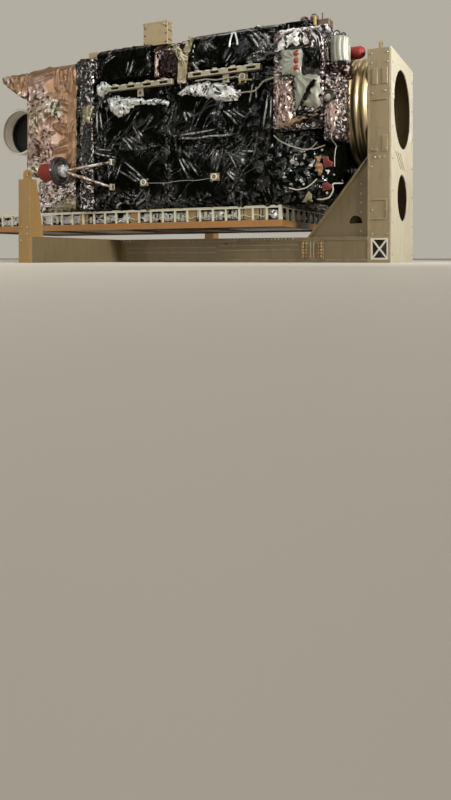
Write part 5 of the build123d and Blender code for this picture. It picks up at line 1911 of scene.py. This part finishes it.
# name, way, radius, lift off the film
PIPES = (
    ("rail_pipe_high", ((0.8, 2.42), (0.95, 2.43), (1.1, 2.4), (1.24, 2.41)), 0.009, 0.05),
    ("rail_pipe_mid", ((1.27, 2.41), (1.4, 2.42), (1.5, 2.36), (1.62, 2.35)), 0.009, 0.05),
    ("rail_pipe_low", low_pipe, 0.01, 0.045),
)
for name, flat, radius, lift in PIPES:
    pipe(name, laid(dense(flat, 0.08), lift), radius, pale_bracket)
print("points of the lacing", len(zigzag), "rail pipes", len(PIPES))

# %% [markdown]
# ## Small hardware
#
# Bolts, latches and tape tabs come in fields: one mesh for each field, made from a short table
# of places. Each could be a copy of one object, but some hundred objects are slow to handle and
# to export. A bolt is a six-sided head on a thin washer, turned to the face it sits on.

# %% Make fields of bolts and plates
FACES = {
    "near": Euler((math.radians(90), 0, 0)),
    "far": Euler((math.radians(-90), 0, 0)),
    "aft": Euler((0, math.radians(90), 0)),
}


def bolt_field(name, rows, material, radius, body="root"):
    """Hex bolts with washers. Each row: x, y, z and the face it looks out of."""
    net = bmesh.new()
    for x, y, z, face in rows:
        turn = Matrix.Translation((x, y, z)) @ FACES[face].to_matrix().to_4x4()
        for sides, wide, tall, foot in ((16, 1.45, 0.25, 0.0), (6, 1.0, 0.9, 0.25)):
            bmesh.ops.create_cone(
                net,
                cap_ends=True,
                segments=sides,
                radius1=radius * wide,
                radius2=radius * wide * 0.94,
                depth=radius * tall,
                matrix=turn @ Matrix.Translation((0, 0, radius * (foot + tall / 2))),
            )
    return finish_piece(piece_from_net(name, net), material, body)


def plate_field(name, rows, material, edge):
    """Small plates with rounded edges. Each row: lowest corner and highest corner."""
    net = bmesh.new()
    for low, high in rows:
        size = Vector(high) - Vector(low)
        middle = (Vector(high) + Vector(low)) / 2
        shape = Matrix.Translation(middle) @ Matrix.Diagonal((*size, 1))
        bmesh.ops.create_cube(net, size=1.0, matrix=shape)
    bmesh.ops.bevel(net, geom=net.edges[:], offset=edge, segments=2, affect="EDGES", profile=0.6)
    return finish_piece(piece_from_net(name, net), material)


# %% [markdown]
# ### Bolts on the cradle
#
# The bolts sit in straight rows at the splices, on the posts, the flanges and the end plate.
# With depths typed in, a changed beam would leave them in the air. So only the place across
# the face is given, and a ray cast onto the CAD part finds the rest.

# %% Find the face under a bolt


def meet(node_name, start, way):
    """Where a ray first meets a CAD node."""
    node = nodes[node_name]
    back_in = node.matrix_world.inverted()
    hit, spot, _, _ = node.ray_cast(back_in @ Vector(start), back_in.to_3x3() @ Vector(way))
    return node.matrix_world @ spot if hit else None


def on_face(node_name, flat, face):
    """Bolt rows on a node at pairs of x and z, or y and z for the aft face."""
    rows = []
    for across, z in flat:
        if face == "aft":
            spot = meet(node_name, (5, across, z), (-1, 0, 0))
        else:
            side = -5 if face == "near" else 5
            spot = meet(node_name, (across, side, z), (0, -side, 0))
        if spot is not None:
            rows.append((*spot, face))
    return rows


print("splice face at", meet("base_splices", (2.19, -5, 0.16), (0, 1, 0)))

# %% Bolt the cradle together
POST_ROWS = [(x, z) for x in (-0.86, -0.76) for z in (0.28, 0.36, 0.44)]
SIDE_WALL_ROWS = [(3.05, 2.62), (3.25, 2.62), (3.05, 2.5), (3.25, 2.5), (3.06, 2.12), (3.22, 2.14)]
SIDE_WALL_ROWS += [(3.05, 1.42), (3.05, 1.2), (3.24, 1.42), (3.09, 1.32), (3.15, 1.32), (3.21, 1.32)]
SIDE_WALL_ROWS += [(3.06, 0.66), (3.22, 0.66), (3.06, 0.36), (3.25, 0.36)]
FLANGE_ROWS = [(1.1 + 0.05 * k, 0.312) for k in range(19)]
SKIN_ROWS = [(y, z) for y in (-0.6, 0.6) for z in (0.1, 0.5, 0.9, 1.3, 1.7, 2.1, 2.5)]

splice_bolts = []
for side, beam in (("near", "base_long_beam_near"), ("far", "base_long_beam_far")):
    flat = [(x, 0.08 + 0.042 * row) for x in (2.15, 2.19, 2.36, 2.4) for row in range(5)]
    splice_bolts += on_face("base_splices", flat, side)
    splice_bolts += on_face(beam, [(-0.66 + 0.05 * k, 0.31) for k in range(3)], side)
bolt_field("splice_bolts", splice_bolts, array_edge, 0.011)

frame_bolts = []
for side in ("near", "far"):
    frame_bolts += on_face(f"lift_post_{side}", POST_ROWS, side)
    frame_bolts += on_face(f"end_plate_side_{side}", SIDE_WALL_ROWS, side)
    frame_bolts += on_face(f"end_plate_brace_{side}", [(2.9, 0.4 + 0.12 * k) for k in range(6)], side)
bolt_field("frame_bolts", frame_bolts, bolt_steel, 0.009)

dots = on_face("base_long_beam_near", FLANGE_ROWS, "near")
dots += on_face("base_long_beam_far", FLANGE_ROWS, "far")
bolt_field("flange_rivets", dots, bolt_steel, 0.007)
skin_bolts = on_face("end_plate_outer_skin", SKIN_ROWS, "aft")
bolt_field("skin_bolts", skin_bolts, bolt_steel, 0.009)
print("cradle bolts", len(splice_bolts) + len(frame_bolts) + len(dots) + len(skin_bolts))

# %% [markdown]
# ### Strips, marks and lips on the cradle
#
# Thin strips run along the webs of the long beams, and the end plate has pale edges, bits of
# tape, three thin lines and a lip round each opening. Drawn in the finish they would be flat.
# Raised by some millimetres they catch the light as the real ones do.

# %% Add the strips, marks and lips
strips = []
for x0, x1, z in ((-0.6, 0.86, 0.13), (-0.6, 0.86, 0.2), (0.9, 2.08, 0.16), (0.9, 2.08, 0.225)):
    strips.append(((x0, -0.648, z), (x1, -0.64, z + 0.012)))
    strips.append(((x0, 0.64, z), (x1, 0.648, z + 0.012)))
strips += [((x, -0.676, 0.06), (x + 0.016, -0.668, 0.27)) for x in (2.25, 2.29)]
plate_field("web_strips", strips, cradle_paint, 0.001)
plate_field("web_marks", [((1.0, -0.649, 0.235), (1.04, -0.64, 0.27))], tag_red, 0.001)
edge_strips = [((3.294, side * 0.64 - 0.012, 0.02), (3.303, side * 0.64 + 0.012, 2.66)) for side in (-1, 1)]
edge_strips += [((3.296, -0.6, 2.06), (3.303, -0.5, 2.25)), ((3.296, 0.47, 1.66), (3.303, 0.56, 1.82))]
plate_field("skin_edges_and_tape", edge_strips, white_coat, 0.002)
for number, y in enumerate((-0.42, -0.3, -0.18), 1):
    line = [(3.301, y, 1.42), (3.301, y + 0.3, 1.22)]
    pipe(f"skin_line_{number}", line, 0.005, cradle_paint)
for name, z, bore in (("upper_hole_lip", 2.01, 0.529), ("lower_hole_lip", 0.85, 0.319)):
    lip = [(bore, 0.0), (bore, 0.02), (bore - 0.012, 0.02), (bore - 0.012, 0.0), (bore, 0.0)]
    turned(name, [(3.281, 0.0, z)], lip, "X", white_coat, steps=96)
print("strips", len(strips) + len(edge_strips))

# %% [markdown]
# ### Tape on the blankets
#
# White tape tabs hold the blankets along their upright seams. Evenly spaced ones would look
# printed, so each is moved a little at random, and about a third are left out. The random
# numbers start from a fixed seed, so every run gives the same tabs.

# %% Tape the blankets
rng = np.random.default_rng(77)
# x, lowest z, highest z
TAPED_SEAMS = ((0.0, 2.6, 3.0), (0.74, 2.6, 3.02), (-1.11, 0.8, 2.9), (-0.93, 0.85, 2.9), (1.92, 1.7, 2.5))
TAB_PITCH = 0.075
TAB_CHANCE = 0.65
DOT_PLACES = ((1.99, 1.36), (2.2, 1.3), (2.36, 1.12), (2.52, 1.4), (2.3, 0.98), (2.6, 0.86))
DOT_PLACES += ((1.72, 2.28), (-0.7, 2.3))

tabs = []
for x, z0, z1 in TAPED_SEAMS:
    for step in range(round((z1 - z0) / TAB_PITCH)):
        z = z0 + TAB_PITCH * step + rng.uniform(-0.02, 0.02)
        left = x + rng.uniform(-0.02, 0.008)
        y = surface_y(left, z)
        if rng.uniform() < TAB_CHANCE:
            tabs.append(((left, y - 0.004, z), (left + 0.015, y + 0.006, z + rng.uniform(0.015, 0.045))))
plate_field("tape_tabs", tabs, white_coat, 0.001)
dot_rows = [(x, surface_y(x, z) - 0.002, z, "near") for x, z in DOT_PLACES]
bolt_field("tape_dots", dot_rows, white_coat, 0.011)
print("tabs", len(tabs), "dots", len(dot_rows))

# %% [markdown]
# ### The electronics box
#
# The box on the roof has a lid, latches and small dark bolts. The lid is a thin plate that
# stands out by a few millimetres all round. A cut line would show less, because from below
# only what stands out throws a shadow.

# %% Close the electronics box
box_low, box_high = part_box("roof_electronics_box")
lid_low = (box_low[0] - 0.004, box_low[1] - 0.004, box_high[2] - 0.03)
lid_high = (box_high[0] + 0.004, box_high[1] + 0.004, box_high[2])
lid = [(lid_low, lid_high)]
plate_field("box_lid", lid, beige_paint, 0.004)
latches = [((x, box_low[1] - 0.01, 3.32), (x + 0.03, box_low[1] + 0.002, 3.362)) for x in (-0.12, 0.17)]
latches += [((box_high[0] - 0.002, y, 3.32), (box_high[0] + 0.01, y + 0.02, 3.362)) for y in (-0.9, -0.83)]
plate_field("box_latches", latches, bolt_steel, 0.003)
end_rows = [(y, z) for z in (3.25, 3.12) for y in (-0.88, -0.83)]
side_rows = [(x, z) for x in (-0.125, 0.225) for z in (3.08, 3.2, 3.3)]
box_bolts = on_face("roof_electronics_box", end_rows, "aft")
box_bolts += on_face("roof_electronics_box", side_rows, "near")
bolt_field("box_bolts", box_bolts, dark_coat, 0.009)
print("latches", len(latches), "box bolts", len(box_bolts))

# %% [markdown]
# ### Small parts on the faces
#
# The fittings have bolts at their corners, two caps stand on the roof, and the slotted rail has
# dark discs for its holes, as painted shade, and a row of white dashes. As small pieces they
# keep their edges at any distance, which a picture on the face would not.

# %% Add the small parts
fitting_bolts = []
for x, z in FITTING_PLACES:
    for side in (-0.052, 0.052):
        for rise in (-0.037, 0.037):
            fitting_bolts.append((x + side, -1.064, z + rise, "near"))
bolt_field("fitting_bolts", fitting_bolts, dark_coat, 0.007)
legs = [((x, -1.075, 2.33), (x + 0.02, -1.05, 2.4)) for x in (1.42, 1.5)]
plate_field("fitting_legs", legs, yellow_film, 0.002)
yellow_strip = [((2.42, -1.03, 2.955), (2.447, -0.99, 3.065))]
plate_field("roof_yellow_strip", yellow_strip, yellow_film, 0.002)

KNOB_PROFILE = [(0.054, 0.0), (0.055, 0.03), (0.05, 0.05), *dome(0.048, 0.05, 0.025)]
knob_rows = [(2.255, -0.9, 3.05), (2.395, -0.92, 3.05)]
turned("roof_knob_caps", knob_rows, KNOB_PROFILE, "Z", box_brown, steps=32)

# painted shade: dark raised discs stand for the shade inside the rail's holes
hanger_hole_shades = on_face("payload_rail_near", [(-0.09, 2.36), (1.235, 2.4)], "near")
bolt_field("hanger_hole_shades", hanger_hole_shades, dark_coat, 0.014)
dashes = []
for x0, x1, top in ((-0.6, 0.42, 2.492), (0.72, 1.72, 2.54)):
    for step in range(round((x1 - x0) / 0.115)):
        x = x0 + 0.115 * step
        dashes.append(((x, -1.132, top - 0.012), (x + 0.06, -1.12, top + 0.004)))
plate_field("rail_dashes", dashes, white_coat, 0.001)
print("fitting bolts", len(fitting_bolts), "dashes", len(dashes))

# %% [markdown]
# ### The folded array
#
# Pale boards and tan slats show between the posts of the array's rail, and white posts close
# its corners. Boards all alike would look like a fence, so those in the aft frames keep their
# pitch but take random widths and heights.

# %% Fill the array's frames
BOARD_PITCH = 0.058
FORWARD_PITCH = 0.31
SLAT_PITCH = 0.045

boards = []
for step in range(24):
    x = -0.02 + step * BOARD_PITCH
    width = rng.uniform(0.02, 0.052)
    low = rng.uniform(0.565, 0.61)
    boards.append(((x, -0.962, low), (x + width, -0.95, low + rng.uniform(0.05, 0.11))))
for step in range(8):
    x = step * FORWARD_PITCH
    boards.append(((-2.6 + x, -0.962, 0.57), (-2.56 + x, -0.95, 0.66)))
plate_field("array_boards", boards, white_coat, 0.002)
slats = []
for step in range(9):
    x = step * SLAT_PITCH
    slats.append(((1.4 + x, -0.965, 0.565), (1.428 + x, -0.95, 0.725)))
plate_field("array_slats", slats, board_tan, 0.002)
corner = []
for x0, x1 in ((1.94, 1.983), (-3.302, -3.268)):
    for y0, y1 in ((-1.003, -0.968), (0.968, 1.003)):
        corner.append(((x0, y0, 0.553), (x1, y1, 0.742)))
plate_field("array_corner_posts", corner, white_coat, 0.003)
rim_dot = [(-1.285, hub_y - disc_radius, hub_z, "near")]
bolt_field("disc_rim_dot", rim_dot, white_coat, 0.012, "boom")
print("boards", len(boards), "slats", len(slats))
